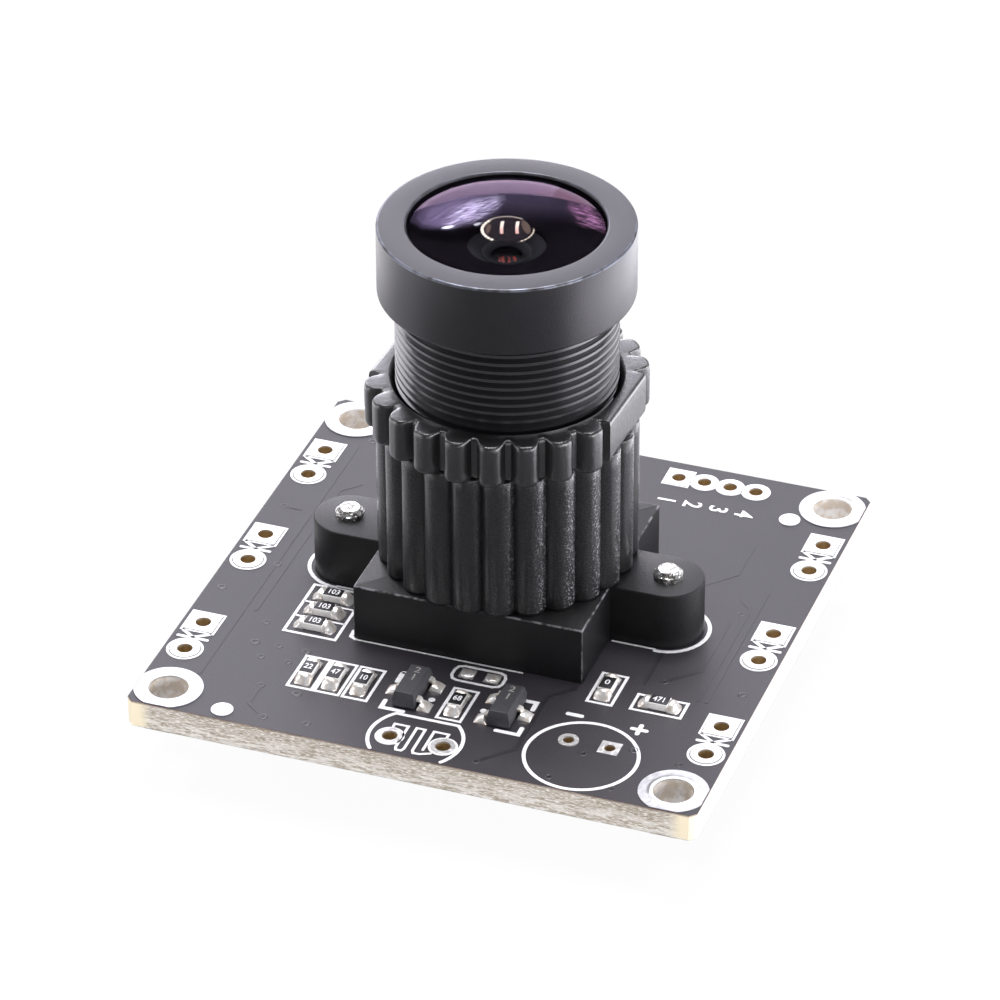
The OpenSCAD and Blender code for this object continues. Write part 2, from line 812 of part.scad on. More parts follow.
module flash_memory() {
    color("#242427") underneath() translate(flash_place)
        moulded_body(flash_size[0], flash_size[1], flash_size[2], controller_standoff);
}

module flash_memory_leads() {
    color("#c9c9c8") underneath() translate(flash_place) for (a = [0, 180], k = [-1.5:1.5])
        rotate(a) translate([flash_size[0] / 2, k * flash_lead_pitch, 0])
            gull_lead(flash_lead_w, flash_lead_reach, flash_size[2] / 2, lead_t);
}

module crystal_base() {
    color("#202022") underneath() translate(crystal_place)
        block([crystal_l, crystal_w, crystal_base_t]);
}

// Half section of the can across its width, with a rounded top edge
module can_section(half_w, h) {
    r = crystal_edge_r;
    square([half_w - r, h]);
    square([half_w, h - r]);
    translate([half_w - r, h - r]) circle(r = r, $fn = 32);
}

module rounded_can(l, w, h) {
    straight = l - w;
    for (s = [0, 1]) mirror([s, 0, 0]) translate([straight / 2, 0, 0])
        rotate(-90) rotate_extrude(angle = 180) can_section(w / 2, h);
    translate([-straight / 2, 0, 0]) rotate([90, 0, 90]) linear_extrude(straight) {
        can_section(w / 2, h);
        mirror([1, 0]) can_section(w / 2, h);
    }
}

module crystal_can() {
    w = crystal_w - 2 * crystal_flange;
    l = crystal_l - 2 * crystal_flange;
    color("#c4c6c8") underneath() translate([crystal_place[0], crystal_place[1], crystal_base_t]) {
        for (s = [-1, 1]) translate([s * (crystal_l - crystal_w) / 2, 0, 0])
            cylinder(d = crystal_w, h = crystal_flange_t);
        block([crystal_l - crystal_w, crystal_w, crystal_flange_t]);
        rounded_can(l, w, under_h - crystal_base_t);
    }
}

// The connector's own frame: mouth towards +Y, its face at y = 0
module at_connector() {
    underneath() translate([connector_x, edge + connector_overhang, 0]) children();
}

module usb_connector_housing() {
    cavity_w = connector_w - 2 * connector_wall;
    cavity_h = under_h - 2 * connector_wall;
    cavity_l = connector_l - connector_back_t;
    slot_w = 0.9;
    slot_x = cavity_w * 0.32;
    color("#e4e0d4") at_connector() difference() {
        translate([0, -connector_l / 2, 0]) block([connector_w, connector_l, under_h]);
        translate([0, -cavity_l / 2 + 0.5, connector_wall])
            block([cavity_w, cavity_l + 1, cavity_h]);
        for (s = [-1, 1]) translate([s * slot_x, -cavity_l / 4, connector_wall])
            block([slot_w, cavity_l / 2 + 0.01, under_h]);
        translate([0, -connector_l / 2, under_h / 2 - contact_w / 2]) at_contacts()
            block([contact_w, connector_l + 2, contact_w]);
    }
}

module at_contacts() {
    for (k = [0:contact_count - 1])
        translate([(k - (contact_count - 1) / 2) * contact_pitch, 0, 0]) children();
}

module usb_connector_contacts() {
    front = -0.8;
    back = -connector_l;
    foot_t = 0.15;
    low = under_h / 2 - contact_w / 2;
    color("#cbb27a") at_connector() at_contacts() rotate([90, 0, 90])
        translate([0, 0, -contact_w / 2]) linear_extrude(contact_w)
            polygon([[front, low], [front, low + contact_w], [back - contact_w, low + contact_w],
                [back - contact_w, foot_t], [back - contact_tail, foot_t],
                [back - contact_tail, 0], [back, 0], [back, low]]);
}

module usb_connector_tabs() {
    t = 0.15;
    color("#c9c9c8") at_connector() for (s = [0, 1]) mirror([s, 0, 0])
        translate([connector_w / 2, -connector_l * 0.6, 0]) rotate([90, 0, 0])
            translate([0, 0, -tab_size[1] / 2]) linear_extrude(tab_size[1])
                polygon([[0, 0], [tab_size[0], 0], [tab_size[0], t], [t, t],
                    [t, tab_size[2]], [0, tab_size[2]]]);
}

module inductor_core() {
    well_r = inductor_w * 0.3;
    well_depth = 0.1;
    color("#4a4a4e") underneath() translate(inductor_place) difference() {
        block([inductor_w, inductor_w, inductor_h]);
        translate([0, 0, inductor_h - well_depth]) cylinder(r = well_r, h = 1);
    }
}

module inductor_terminals() {
    color("#c9c9c8") underneath() translate(inductor_place) for (s = [-1, 1])
        translate([s * (inductor_w + inductor_terminal_t) / 2, 0, 0])
            block([inductor_terminal_t, inductor_terminal_w, inductor_h / 2]);
}

module regulator_bodies() {
    color("#26262a") underneath() sot_bodies(regulator_places);
}

module regulator_leads() {
    color("#c9c9c8") underneath() sot_leads(regulator_places);
}

module chip_capacitor_bodies() {
    color("#a5855c") underneath() at_chips(capacitor_places) chip_body(capacitor_h);
}

module chip_capacitor_ends() {
    color("#cfcfcd") underneath() at_chips(capacitor_places) chip_ends(capacitor_h);
}

circuit_board();
corner_hole_rings();
led_pads();
usb_pads();
light_sensor_pads();
capacitor_pads();
solder_lands();
chip_resistor_bodies();
chip_resistor_films();
chip_resistor_ends();
transistor_bodies();
transistor_leads();
solder_joints();
lens_holder();
holder_screws();
sensor_package();
sensor_die();
sensor_cover_glass();
ir_cut_filter();
lock_ring();
lens_barrel();
front_element();
front_o_ring();
second_element();
front_spacer();
aperture_stop();
doublet_flint();
doublet_crown();
middle_spacer();
fifth_element();
rear_spacer();
rear_element();
retaining_ring();
camera_controller();
controller_leads();
flash_memory();
flash_memory_leads();
crystal_base();
crystal_can();
usb_connector_housing();
usb_connector_contacts();
usb_connector_tabs();
inductor_core();
inductor_terminals();
regulator_bodies();
regulator_leads();
chip_capacitor_bodies();
chip_capacitor_ends();
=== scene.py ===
from math import cos, pi, radians, sin, sqrt

import bmesh
import bpy
from mathutils import Matrix, Vector


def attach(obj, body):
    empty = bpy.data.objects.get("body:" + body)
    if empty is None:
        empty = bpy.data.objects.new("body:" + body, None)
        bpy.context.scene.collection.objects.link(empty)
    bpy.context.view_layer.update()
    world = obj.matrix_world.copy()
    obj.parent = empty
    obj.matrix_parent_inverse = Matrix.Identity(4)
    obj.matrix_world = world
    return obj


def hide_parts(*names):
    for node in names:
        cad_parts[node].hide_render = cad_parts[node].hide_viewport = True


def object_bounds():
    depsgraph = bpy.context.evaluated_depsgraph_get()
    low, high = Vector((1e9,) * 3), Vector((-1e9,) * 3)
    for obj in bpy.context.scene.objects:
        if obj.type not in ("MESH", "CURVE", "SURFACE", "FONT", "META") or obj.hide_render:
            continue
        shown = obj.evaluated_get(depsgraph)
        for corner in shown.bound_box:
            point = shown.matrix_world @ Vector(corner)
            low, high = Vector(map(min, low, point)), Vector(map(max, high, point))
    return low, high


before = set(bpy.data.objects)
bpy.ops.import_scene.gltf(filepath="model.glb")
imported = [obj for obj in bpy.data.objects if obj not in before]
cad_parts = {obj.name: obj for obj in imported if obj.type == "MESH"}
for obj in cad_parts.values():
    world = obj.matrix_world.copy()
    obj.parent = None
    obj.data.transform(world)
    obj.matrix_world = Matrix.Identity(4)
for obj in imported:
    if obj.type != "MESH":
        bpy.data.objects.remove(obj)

cad_box = [list(corner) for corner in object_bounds()]

# ---- Circuit board ----
# A square of woven glass and epoxy under a matt black solder mask, routed from
# a panel, so that its sides show the pale laminate. Its right-hand side is
# painted near white, a painted highlight. Copper tracks and covered vias raise
# the mask a little.

MM = 0.001
board_t = 1.6


def operator(operation, swapped=False):
    """A method of Wire that joins it to another number by a Math node."""

    def method(self, other):
        return self.maths(operation, *((other, self) if swapped else (self, other)))
    return method


class Wire:
    """An output socket of a node; a sum, product or power of it is a Math node."""

    def __init__(self, graph, socket):
        self.graph, self.socket = graph, socket

    def maths(self, operation, *terms):
        return self.graph.node("ShaderNodeMath", *terms, settings={"operation": operation})

    __add__, __radd__ = operator("ADD"), operator("ADD", True)
    __sub__, __rsub__ = operator("SUBTRACT"), operator("SUBTRACT", True)
    __mul__, __rmul__ = operator("MULTIPLY"), operator("MULTIPLY", True)
    __truediv__, __pow__ = operator("DIVIDE"), operator("POWER")
    __gt__, __lt__ = operator("GREATER_THAN"), operator("LESS_THAN")

    def __abs__(self):
        return self.maths("ABSOLUTE", self)

    def most(self, *others):
        """The greatest of this and the others."""
        best = self
        for other in others:
            best = self.maths("MAXIMUM", best, other)
        return best

    def ramp(self, low, high):
        """0 below low, 1 above high, and smooth between."""
        return self.graph.node("ShaderNodeMapRange", self, low, high, 0.0, 1.0,
                               settings={"interpolation_type": "SMOOTHSTEP"})


class Graph:
    """A node tree, with the one method that adds a node to it."""

    def __init__(self, tree):
        self.tree = tree

    def node(self, kind, *values, settings=None, output=0, **named):
        """A node's output; its inputs are numbers or wires, by place or by name."""
        made = self.tree.nodes.new(kind)
        for key, setting in (settings or {}).items():
            setattr(made, key, setting)
        pairs = list(zip(made.inputs, values))
        pairs += [(made.inputs[int(key[1:]) if key[1:].isdigit() else key.replace("_", " ")], value)
                  for key, value in named.items()]
        for socket, value in pairs:
            if isinstance(value, Wire):
                self.tree.links.new(value.socket, socket)
            else:
                socket.default_value = value
        return Wire(self, made.outputs[output])


class Finish(Graph):
    """A material of one Principled shader, patterned in object coordinates in mm."""

    def __init__(self, name, color, roughness, **constants):
        self.material = bpy.data.materials.new(name)
        self.material.use_nodes = True
        super().__init__(self.material.node_tree)
        self.tree.nodes.clear()
        self.shader = self.tree.nodes.new("ShaderNodeBsdfPrincipled")
        self.surface = Wire(self, self.shader.outputs[0])
        self.end = self.tree.nodes.new("ShaderNodeOutputMaterial")
        self.tree.links.new(self.surface.socket, self.end.inputs[0])
        constants = {"Base Color": (*color, 1), "Roughness": roughness, **constants}
        for key, value in constants.items():
            self.shader.inputs[key.replace("_", " ")].default_value = value
        self.place = self.node("ShaderNodeVectorMath", self.node("ShaderNodeTexCoord", output="Object"),
                               Scale=1 / MM, settings={"operation": "SCALE"})
        self.x, self.y, self.z = (
            self.node("ShaderNodeSeparateXYZ", self.place, output=k) for k in range(3))

    def feed(self, **links):
        for key, wire in links.items():
            self.tree.links.new(wire.socket, self.shader.inputs[key.replace("_", " ")])

    def stretched(self, x, y, z):
        return self.node("ShaderNodeVectorMath", self.place, (x, y, z),
                         settings={"operation": "MULTIPLY"})

    def grain(self, scale, detail=2.0, where=None, distortion=0.0):
        return self.node("ShaderNodeTexNoise", Vector=where or self.place, Scale=scale,
                         Detail=detail, Distortion=distortion)

    def mix(self, factor, first, second):
        first, second = (value if isinstance(value, Wire) else (*value, 1)
                         for value in (first, second))
        return self.node("ShaderNodeMix", settings={"data_type": "RGBA"}, i0=factor, i6=first,
                         i7=second, output=2)

    def paint(self, base, *layers):
        """A base colour under (factor, colour) layers, each laid over the last."""
        for factor, color in layers:
            base = self.mix(factor, base, color)
        return base

    def bump(self, height, depth):
        """A normal from a height of 0 to 1 that stands for depth in mm."""
        return self.node("ShaderNodeBump", Strength=1.0, Distance=depth * MM, Height=height)

    def blend(self, factor, first, second):
        """Makes the material a mix of two shaders instead of its own one."""
        mixed = self.node("ShaderNodeMixShader", factor, first, second)
        self.tree.links.new(mixed.socket, self.end.inputs[0])


def coat(finish, *names):
    """Gives CAD nodes a finish."""
    for name in names:
        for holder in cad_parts[name].material_slots:
            holder.link = "OBJECT"
            holder.material = finish.material


board = Finish("black_solder_mask", (0.021, 0.019, 0.024), 0.45, Specular_IOR_Level=0.55)
cloud = board.grain(0.35, 3)
weave = board.grain(1.0, 3, board.stretched(1.1, 1.1, 8))
strands = board.grain(1.0, 3, board.stretched(3.5, 3.5, 15))
mask = board.paint(board.mix(cloud, (0.018, 0.016, 0.020), (0.024, 0.021, 0.027)),
                   (board.grain(11, 2).ramp(0.45, 0.75) * 0.5, (0.045, 0.041, 0.050)))
laminate_and_side_highlight = board.paint(
    board.mix(board.z.ramp(-1.15, -0.45), (0.66, 0.63, 0.57), (0.47, 0.43, 0.36)),
    (weave.ramp(0.42, 0.60) * 0.85, (0.30, 0.25, 0.17)),
    (strands.ramp(0.44, 0.70) * 0.85, (0.90, 0.87, 0.82)),
    (abs(board.x).ramp(14.4, 15.3) * (board.y < -15.5), (0.86, 0.77, 0.56)),
    # The right-hand side is painted near white: a painted highlight
    (board.x.ramp(15.8, 15.95) * 0.8, (0.88, 0.86, 0.82)),
    (board.z.ramp(-0.16, -0.05) * 0.75, (0.20, 0.12, 0.09)))
mask_t = 0.012
wall = (board.z < -mask_t) * (board.z > mask_t - board_t)
board.feed(
    Base_Color=board.mix(wall, mask, laminate_and_side_highlight),
    Roughness=0.42 + 0.10 * cloud + wall * 0.2,
    Normal=board.bump(board.grain(7, 2) * 0.4 + strands * wall * 3, 0.012))
coat(board, "circuit_board")

# ---- Tracks and covered vias ----
# Copper under the mask: tracks that show as low ridges, and vias that the mask
# covers, each a small raised ring with a pit.


def add_object(name, data):
    made = bpy.data.objects.new(name, data)
    bpy.context.collection.objects.link(made)
    return made


def tidy(mesh, crease):
    """Joins loose points, turns the normals outwards and shades up to a crease angle."""
    form = bmesh.new()
    form.from_mesh(mesh)
    bmesh.ops.remove_doubles(form, verts=form.verts, dist=1e-7)
    bmesh.ops.dissolve_degenerate(form, edges=form.edges, dist=1e-7)
    bmesh.ops.recalc_face_normals(form, faces=form.faces)
    form.to_mesh(mesh)
    form.free()
    mesh.shade_smooth()
    mesh.set_sharp_from_angle(angle=radians(crease))


def build(name, shape, finish, crease=35):
    """A piece from a shape, which is a list of points in mm and a list of faces."""
    mesh = bpy.data.meshes.new(name)
    mesh.from_pydata([Vector(point) * MM for point in shape[0]], [], shape[1])
    mesh.materials.append(finish.material)
    tidy(mesh, crease)
    return add_object(name, mesh)


def gather(shapes):
    """Several shapes as one."""
    points, faces = [], []
    for more_points, more_faces in shapes:
        start = len(points)
        points += list(more_points)
        faces += [tuple(k + start for k in face) for face in more_faces]
    return points, faces


def turned(section, steps, half=None):
    """The shape of a section of (r, z) points carried round the lens axis in even steps.

    The section is a list, or a function of the angle. It goes the whole way round, or
    from half degrees on one side of the x axis to half degrees on the other.
    """
    angles = ([360 * k / steps for k in range(steps)] if half is None else
              [half * (2 * k / steps - 1) for k in range(steps + 1)])
    rows = [(radians(angle), section(angle) if callable(section) else section)
            for angle in angles]
    points = [(r * cos(a), r * sin(a), z) for a, outline in rows for r, z in outline]
    count, faces = len(rows[0][1]), []
    for k in range(steps):
        here, there = k * count, (k + 1) % len(rows) * count
        faces += [(here + i, there + i, there + (i + 1) % count, here + (i + 1) % count)
                  for i in range(count)]
    return points, faces


def stroke(path, width, bottom, top, closed=False):
    """The shape of a flat line of ink or copper along a path, with tapered ends."""
    path = [Vector(point) for point in path]
    left, right, ends, faces = [], [], [], []
    for k, point in enumerate(path):
        steps = [(point - path[k - 1]).normalized()] if closed or k else []
        if closed or k < len(path) - 1:
            steps.append((path[(k + 1) % len(path)] - point).normalized())
        along = sum(steps, Vector((0, 0))).normalized()
        reach = Vector((-along.y, along.x)) * (width / 2 / max(0.5, along.dot(steps[0])))
        left.append(point + reach)
        right.append(point - reach)
    if not closed:
        for here, there in ((path[0], path[1]), (path[-1], path[-2])):
            away = (here - there).normalized() * width / 2
            across = Vector((-away.y, away.x))
            ends.append([here + away * cos(a) * 0.8 + across * sin(a)
                         for a in (-pi / 4, 0, pi / 4)])
        (start_left, start, start_right), (end_right, end, end_left) = ends
        left = [start, start_left, *left, end_left, end]
        right = [start, start_right, *right, end_right, end]
    points = [(*p, z) for z in (top, bottom) for p in left + right]
    count, under = len(left), 2 * len(left)
    for k in range(count if closed else count - 1):
        a, b = k, (k + 1) % count
        c, d = count + b, count + a
        faces += [(a, b, c, d), (under + d, under + c, under + b, under + a),
                  (b, a, under + a, under + b), (d, c, under + c, under + d)]
    return points, faces


def modifier_tree(name, **inputs):
    """A Geometry Nodes tree with a geometry input and others, each with its kind."""
    tree = bpy.data.node_groups.new(name, "GeometryNodeTree")
    tree.interface.new_socket("Geometry", in_out="OUTPUT", socket_type="NodeSocketGeometry")
    for label, kind in {"Geometry": "Geometry", **inputs}.items():
        tree.interface.new_socket(label, in_out="INPUT", socket_type="NodeSocket" + kind)
    graph = Graph(tree)
    start = tree.nodes.new("NodeGroupInput")
    return graph, {socket.name: Wire(graph, socket) for socket in start.outputs if socket.name}


def end_tree(graph, geometry, material):
    """Realises the copies, joins those that touch and gives them their material."""
    solid = graph.node("GeometryNodeRealizeInstances", geometry)
    joined = graph.node("GeometryNodeMergeByDistance", solid, Distance=1e-7)
    finished = graph.node("GeometryNodeSetMaterial", joined, Material=material)
    end = graph.tree.nodes.new("NodeGroupOutput")
    graph.tree.links.new(finished.socket, end.inputs[0])


def evaluated(piece):
    """A piece's mesh with its modifiers, or a text's mesh, as plain data."""
    bpy.context.view_layer.update()
    return bpy.data.meshes.new_from_object(
        piece.evaluated_get(bpy.context.evaluated_depsgraph_get()))


def grow(piece, graph, crease, **values):
    """Runs a tree on a piece and keeps the result as a plain mesh."""
    modifier = piece.modifiers.new("pattern", "NODES")
    modifier.node_group = graph.tree
    for socket in graph.tree.interface.items_tree:
        if socket.in_out == "INPUT" and socket.name in values:
            modifier[socket.identifier] = values[socket.name]
    mesh = evaluated(piece)
    piece.modifiers.clear()
    piece.data = mesh
    tidy(mesh, crease)
    return piece


# Copies of a template at points, each turned by the point's turn
scatter, inlet = modifier_tree("scatter", Template="Object", Spread="Float", Seed="Int",
                               Material="Material")
template = scatter.node("GeometryNodeObjectInfo", Object=inlet["Template"], output="Geometry")
turn = scatter.node("GeometryNodeInputNamedAttribute", settings={"data_type": "FLOAT"}, Name="turn")
size = scatter.node("FunctionNodeRandomValue", settings={"data_type": "FLOAT"},
                    i2=1.0 - inlet["Spread"], i3=1.0 + inlet["Spread"], Seed=inlet["Seed"], output=1)
copies = scatter.node("GeometryNodeInstanceOnPoints", inlet["Geometry"], Instance=template,
                      Rotation=scatter.node("ShaderNodeCombineXYZ", Z=turn), Scale=size)
end_tree(scatter, copies, inlet["Material"])


def scattered(name, shape, places, finish, spread=0.0, seed=1, crease=35):
    """One piece made of a shape's copies at places, each an x, a y and a turn."""
    mesh = bpy.data.meshes.new("places")
    mesh.from_pydata([Vector((x, y, 0)) * MM for x, y, _ in places], [], [])
    turns = mesh.attributes.new("turn", "FLOAT", "POINT")
    for item, (_, _, turn) in zip(turns.data, places):
        item.value = radians(turn)
    template = build("template", shape, finish)
    piece = grow(add_object(name, mesh), scatter, crease, Template=template, Spread=spread,
                 Seed=seed, Material=finish.material)
    bpy.data.objects.remove(template)
    return piece


mask_only = Finish("mask_over_copper", (0.02, 0.018, 0.023), 0.42, Specular_IOR_Level=0.6)
# Painted highlight on the raised tops of the via rings; painted shade, near black, in their pits and at
# the lowest parts of vias and tracks
mask_only.feed(
    Base_Color=mask_only.paint(
        mask_only.mix(mask_only.grain(2), (0.010, 0.009, 0.012), (0.018, 0.016, 0.021)),
        (mask_only.z.ramp(0.016, 0.021), (0.045, 0.042, 0.05)),
        (mask_only.z.ramp(0.008, 0.005), (0.001, 0.001, 0.001))),
    Normal=mask_only.bump(mask_only.grain(9), 0.01))
via_places = [
    (-15.15, -4.3), (-11.57, -6.7), (-11.46, -8.65), (-10.1, -8.6), (-8.5, -8.6),
    (-10.65, -9.85), (-9.07, -9.85), (-9.67, -12.35), (-7.54, -12.46), (-8.48, -15.02),
    (-6.07, -14.87), (3.6, -15.07), (7.63, -15.13), (8.65, -12.57), (11.04, -15.07),
    (13.76, -11.85), (10.67, -4.89), (14.96, -4.67), (11.1, -11.4), (-14.9, 4.4),
    (-12.6, 12.3), (1.8, 13.9), (-3.2, 13.1), (12.6, 2.6), (-13.1, -1.2)]
via = turned([(0.25, 0.0), (0.22, 0.018), (0.18, 0.022), (0.14, 0.006), (0.0, 0.003), (0.0, 0.0)], 16)
vias = scattered("covered_vias", via, [(x, y, 37 * x) for x, y in via_places], mask_only, 0.15, 4, 80)
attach(vias, "module")

track_paths = [
    [(9.7, -5.4), (9.7, 4.6), (11.2, 6.2), (11.2, 9.4)],
    [(12.9, -6.0), (12.9, 3.2), (12.2, 3.9)],
    [(13.35, -6.0), (13.35, 5.1)],
    [(10.67, -4.89), (12.2, -3.3), (12.2, 1.6)],
    [(-13.2, -12.4), (-13.2, 11.6)],
    [(-12.55, -5.8), (-12.55, 6.9), (-11.6, 7.9)],
    [(-14.9, 4.4), (-13.9, 4.4)],
    [(-3.2, 13.1), (-6.4, 13.1), (-8.9, 10.7), (-10.8, 10.7)],
    [(1.8, 13.9), (-4.6, 13.9), (-7.2, 11.4)],
    [(3.6, -15.07), (5.2, -13.4), (5.2, -8.3), (6.4, -7.1)],
    [(-9.67, -12.35), (-9.67, -14.1), (-8.48, -15.02)]]
tracks = build("covered_tracks", gather(stroke(path, 0.22, 0, mask_t) for path in track_paths),
               mask_only)
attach(tracks, "module")

# ---- Plated holes and lands ----
# Copper rings on both faces, joined through their holes and dipped in solder,
# which leaves a bright and slightly uneven coat.

def in_hole(finish):
    """1 on the plated wall of a hole and 0 on the board's faces."""
    return (finish.z < -0.06) * (finish.z > 0.06 - board_t)


def hypotenuse(u, v):
    return (u * u + v * v) ** 0.5


tin = Finish("hot_tinned_copper", (0.86, 0.86, 0.85), 0.32, Metallic=0.75)
dipped = tin.mix(tin.grain(2.5, 3), (0.74, 0.74, 0.73), (0.95, 0.94, 0.92))
tin.feed(Base_Color=tin.mix(in_hole(tin), dipped, (0.62, 0.48, 0.27)),
         Roughness=0.22 + 0.22 * tin.grain(4, 2) + in_hole(tin) * 0.15,
         Normal=tin.bump(tin.grain(3.2, 3, distortion=0.6), 0.05))
coat(tin, "led_pads", "usb_pads", "light_sensor_pads", "capacitor_pads", "solder_lands")

hole_place = 14.225
ring_tin = Finish("ring_tin", (0.8, 0.8, 0.79), 0.3, Metallic=1.0)
# The rim round each hole is painted much brighter than the darker flat face of the same tin: partly a
# painted highlight on the rounded rim
rim = 1.0 - hypotenuse(abs(ring_tin.x) - hole_place, abs(ring_tin.y) - hole_place).ramp(1.24, 1.46)
face = ring_tin.mix(ring_tin.grain(1.6, 4), (0.38, 0.38, 0.40), (0.66, 0.66, 0.67))
wall_color = ring_tin.mix(ring_tin.grain(1.8, 4).ramp(0.4, 0.65), (0.74, 0.66, 0.56),
                          (0.95, 0.93, 0.90))
ring_tin.feed(
    Base_Color=ring_tin.paint(face, (rim, (0.95, 0.95, 0.94)), (in_hole(ring_tin), wall_color)),
    Metallic=1 - 0.6 * in_hole(ring_tin),
    Roughness=0.42 - 0.15 * rim + 0.12 * ring_tin.grain(3),
    Normal=ring_tin.bump(ring_tin.grain(2.2, 4) + rim * 0.7, 0.06))
coat(ring_tin, "corner_hole_rings")

# ---- Print on the board ----
# White ink screened on the mask: outlines of the parts, marks of polarity and
# plain figures. It stands up by the thickness of the ink.

ink = Finish("white_ink", (0.86, 0.87, 0.87), 0.55)
ink.feed(Base_Color=ink.mix(ink.grain(6, 3).ramp(0.3, 0.7), (0.74, 0.75, 0.76), (0.9, 0.9, 0.9)))
ink_t = 0.02
ear_x, led_x, led_step, cable_y = 9.2, 14.8, 9.2, 14.47
cable_x = [7.37 + (k - 1.5) * 1.52 for k in range(4)]
sensor_place = (-0.13, -14.24)


def circle(centre, radius, first=0.0, last=360.0, count=48):
    """Points on a circle, or on an arc of it with both its ends."""
    turns = [radians(first + (last - first) * k / count)
             for k in range(count if abs(last - first) >= 360 else count + 1)]
    return [(centre[0] + radius * cos(a), centre[1] + radius * sin(a)) for a in turns]


def box_path(x0, x1, y0, y1, cut=0.0):
    if not cut:
        return [(x0, y0), (x1, y0), (x1, y1), (x0, y1)]
    bit = cut * 0.3
    return [(x0 + cut, y0), (x1 - cut, y0), (x1 - bit, y0 + bit), (x1, y0 + cut),
            (x1, y1 - cut), (x1 - bit, y1 - bit), (x1 - cut, y1), (x0 + cut, y1),
            (x0 + bit, y1 - bit), (x0, y1 - cut), (x0, y0 + cut), (x0 + bit, y0 + bit)]


def line(path, width, closed=False):
    return stroke(path, width, 0, ink_t, closed)


def loft(sections):
    """The shape of a skin over closed sections with as many points each."""
    count = len(sections[0])
    points = [point for section in sections for point in section]
    faces = [tuple(reversed(range(count))), tuple(range(len(points) - count, len(points)))]
    for k in range(len(sections) - 1):
        base = k * count
        faces += [(base + i, base + (i + 1) % count, base + count + (i + 1) % count,
                   base + count + i) for i in range(count)]
    return points, faces


def disc(centre, radius, bottom, top):
    return loft([[(x, y, z) for x, y in circle(centre, radius, count=32)] for z in (bottom, top)])


def figures(text, size, place, turn, lift, squeeze, thick):
    """The shape of printed figures, centred on a place and turned."""
    curve = bpy.data.curves.new("figures", "FONT")
    curve.body, curve.size, curve.extrude = text, size, thick
    curve.align_x, curve.align_y = "CENTER", "CENTER"
    curve.offset = size * 0.012
    curve.resolution_u = 3
    holder = add_object("figures", curve)
    mesh = evaluated(holder)
    spin = Matrix.Translation((*place, lift)) @ Matrix.Rotation(radians(turn), 4, "Z")
    spin = spin @ Matrix.Diagonal((squeeze, 1, 1, 1))
    shape = ([tuple(spin @ vertex.co) for vertex in mesh.vertices],
             [tuple(face.vertices) for face in mesh.polygons])
    bpy.data.objects.remove(holder)
    bpy.data.curves.remove(curve)
    bpy.data.meshes.remove(mesh)
    return shape


# Outlines of parts, each as x, x, y, y and the width of its line
marks = [line(box_path(*box), width, True) for *box, width in (
    (-10.41, -7.43, -7.1, -2.41, 0.17), (-8.33, -6.95, -11.9, -8.97, 0.16),
    (-6.77, -5.42, -11.9, -8.97, 0.16), (-5.18, -3.81, -11.9, -8.97, 0.16),
    (0.24, 1.58, -12.05, -9.17, 0.16), (7.28, 8.66, -7.96, -5.19, 0.16),
    (9.71, 12.49, -7.88, -6.45, 0.16))]
marks.append(line(box_path(-0.35, 2.53, -8.45, -7.07, 0.42), 0.17, True))

# Dividers, corners of outlines, signs and the light sensor's figure: a width and a path
for width, *path in (
        (0.13, (-10.35, -4.08), (-7.5, -4.08)), (0.13, (-10.35, -5.52), (-7.5, -5.52)),
        (0.3, (-2.86, -8.8), (-2.86, -9.65)), (0.24, (-2.86, -8.75), (-1.4, -8.75)),
        (0.26, (-2.86, -11.45), (-2.86, -12.15), (-1.6, -12.15)),
        (0.26, (4.2, -9.05), (4.85, -9.05), (4.85, -9.75)),
        (0.26, (3.6, -12.13), (4.88, -12.13), (4.88, -11.5)),
        (0.28, (6.72, -9.41), (7.52, -9.41)), (0.25, (10.36, -9.57), (11.2, -9.57)),
        (0.1, (-6.3, -6.66), (3.2, -6.66)), (0.22, (-6.78, -5.9), (-6.74, -6.45), (-6.4, -6.62)),
        (0.15, (0.6, -15.1), (0.6, -13.33), (1.42, -13.33), (1.42, -13.65)),
        (0.15, (-1.62, -13.6), (-1.62, -13.33), (-0.85, -13.33), (-0.85, -15.3), (-0.76, -15.52),
         (-0.48, -15.52), (-0.38, -15.3), (-0.38, -13.33), (0.1, -13.33), (0.1, -15.3),
         (0.2, -15.52), (0.55, -15.5), (1.1, -15.25)),
        (0.2, *circle(sensor_place, 2.54, 219.0, 134.0, 20),
         *circle(sensor_place, 2.54, 46.0, -39.0, 20))):
    marks.append(line(path, width))
marks.append(stroke([(10.78, -9.15), (10.78, -9.99)], 0.25, 0, ink_t * 1.2))
marks.append(line(circle((8.65, -12.83), 3.03, count=96), 0.2, True))
marks += [disc(dot, 0.19, 0, ink_t) for dot in ((-0.54, -10.62), (2.41, -10.67))]
marks += [disc(target, 0.6, 0.05, 0.052) for target in ((-10.76, -15.17), (12.28, 12.39))]
marks += [line(circle((x, -14.46), 0.74), 0.12, True) for x in (-1.5, 1.5)]

# Each lamp's two pads, joined by the sign of a diode
for x in (-led_x, led_x):
    for middle in (-led_step, 0, led_step):
        bar = middle - 0.22
        marks += [line(box_path(x - 0.93, x + 0.93, middle + 0.4, middle + 2.26), 0.12, True),
                  line(circle((x, middle - 1.33), 0.95), 0.14, True),
                  line([(x - 0.86, bar), (x + 0.86, bar)], 0.2)]
        marks += [line([(x + side, middle + 0.36), (x, bar + 0.05)], 0.2) for side in (-0.8, 0.8)]

# The cable's pads, the first of them square, with their figures
for k, x in enumerate(cable_x):
    outline = circle((x, cable_y), 0.8) if k else box_path(x - 0.76, x + 0.76, 13.65, 15.29)
    marks += [line(outline, 0.07, True), figures("1234"[k], 1.5, (x, 12.1), -90, 0.008, 0.9, 0.008)]

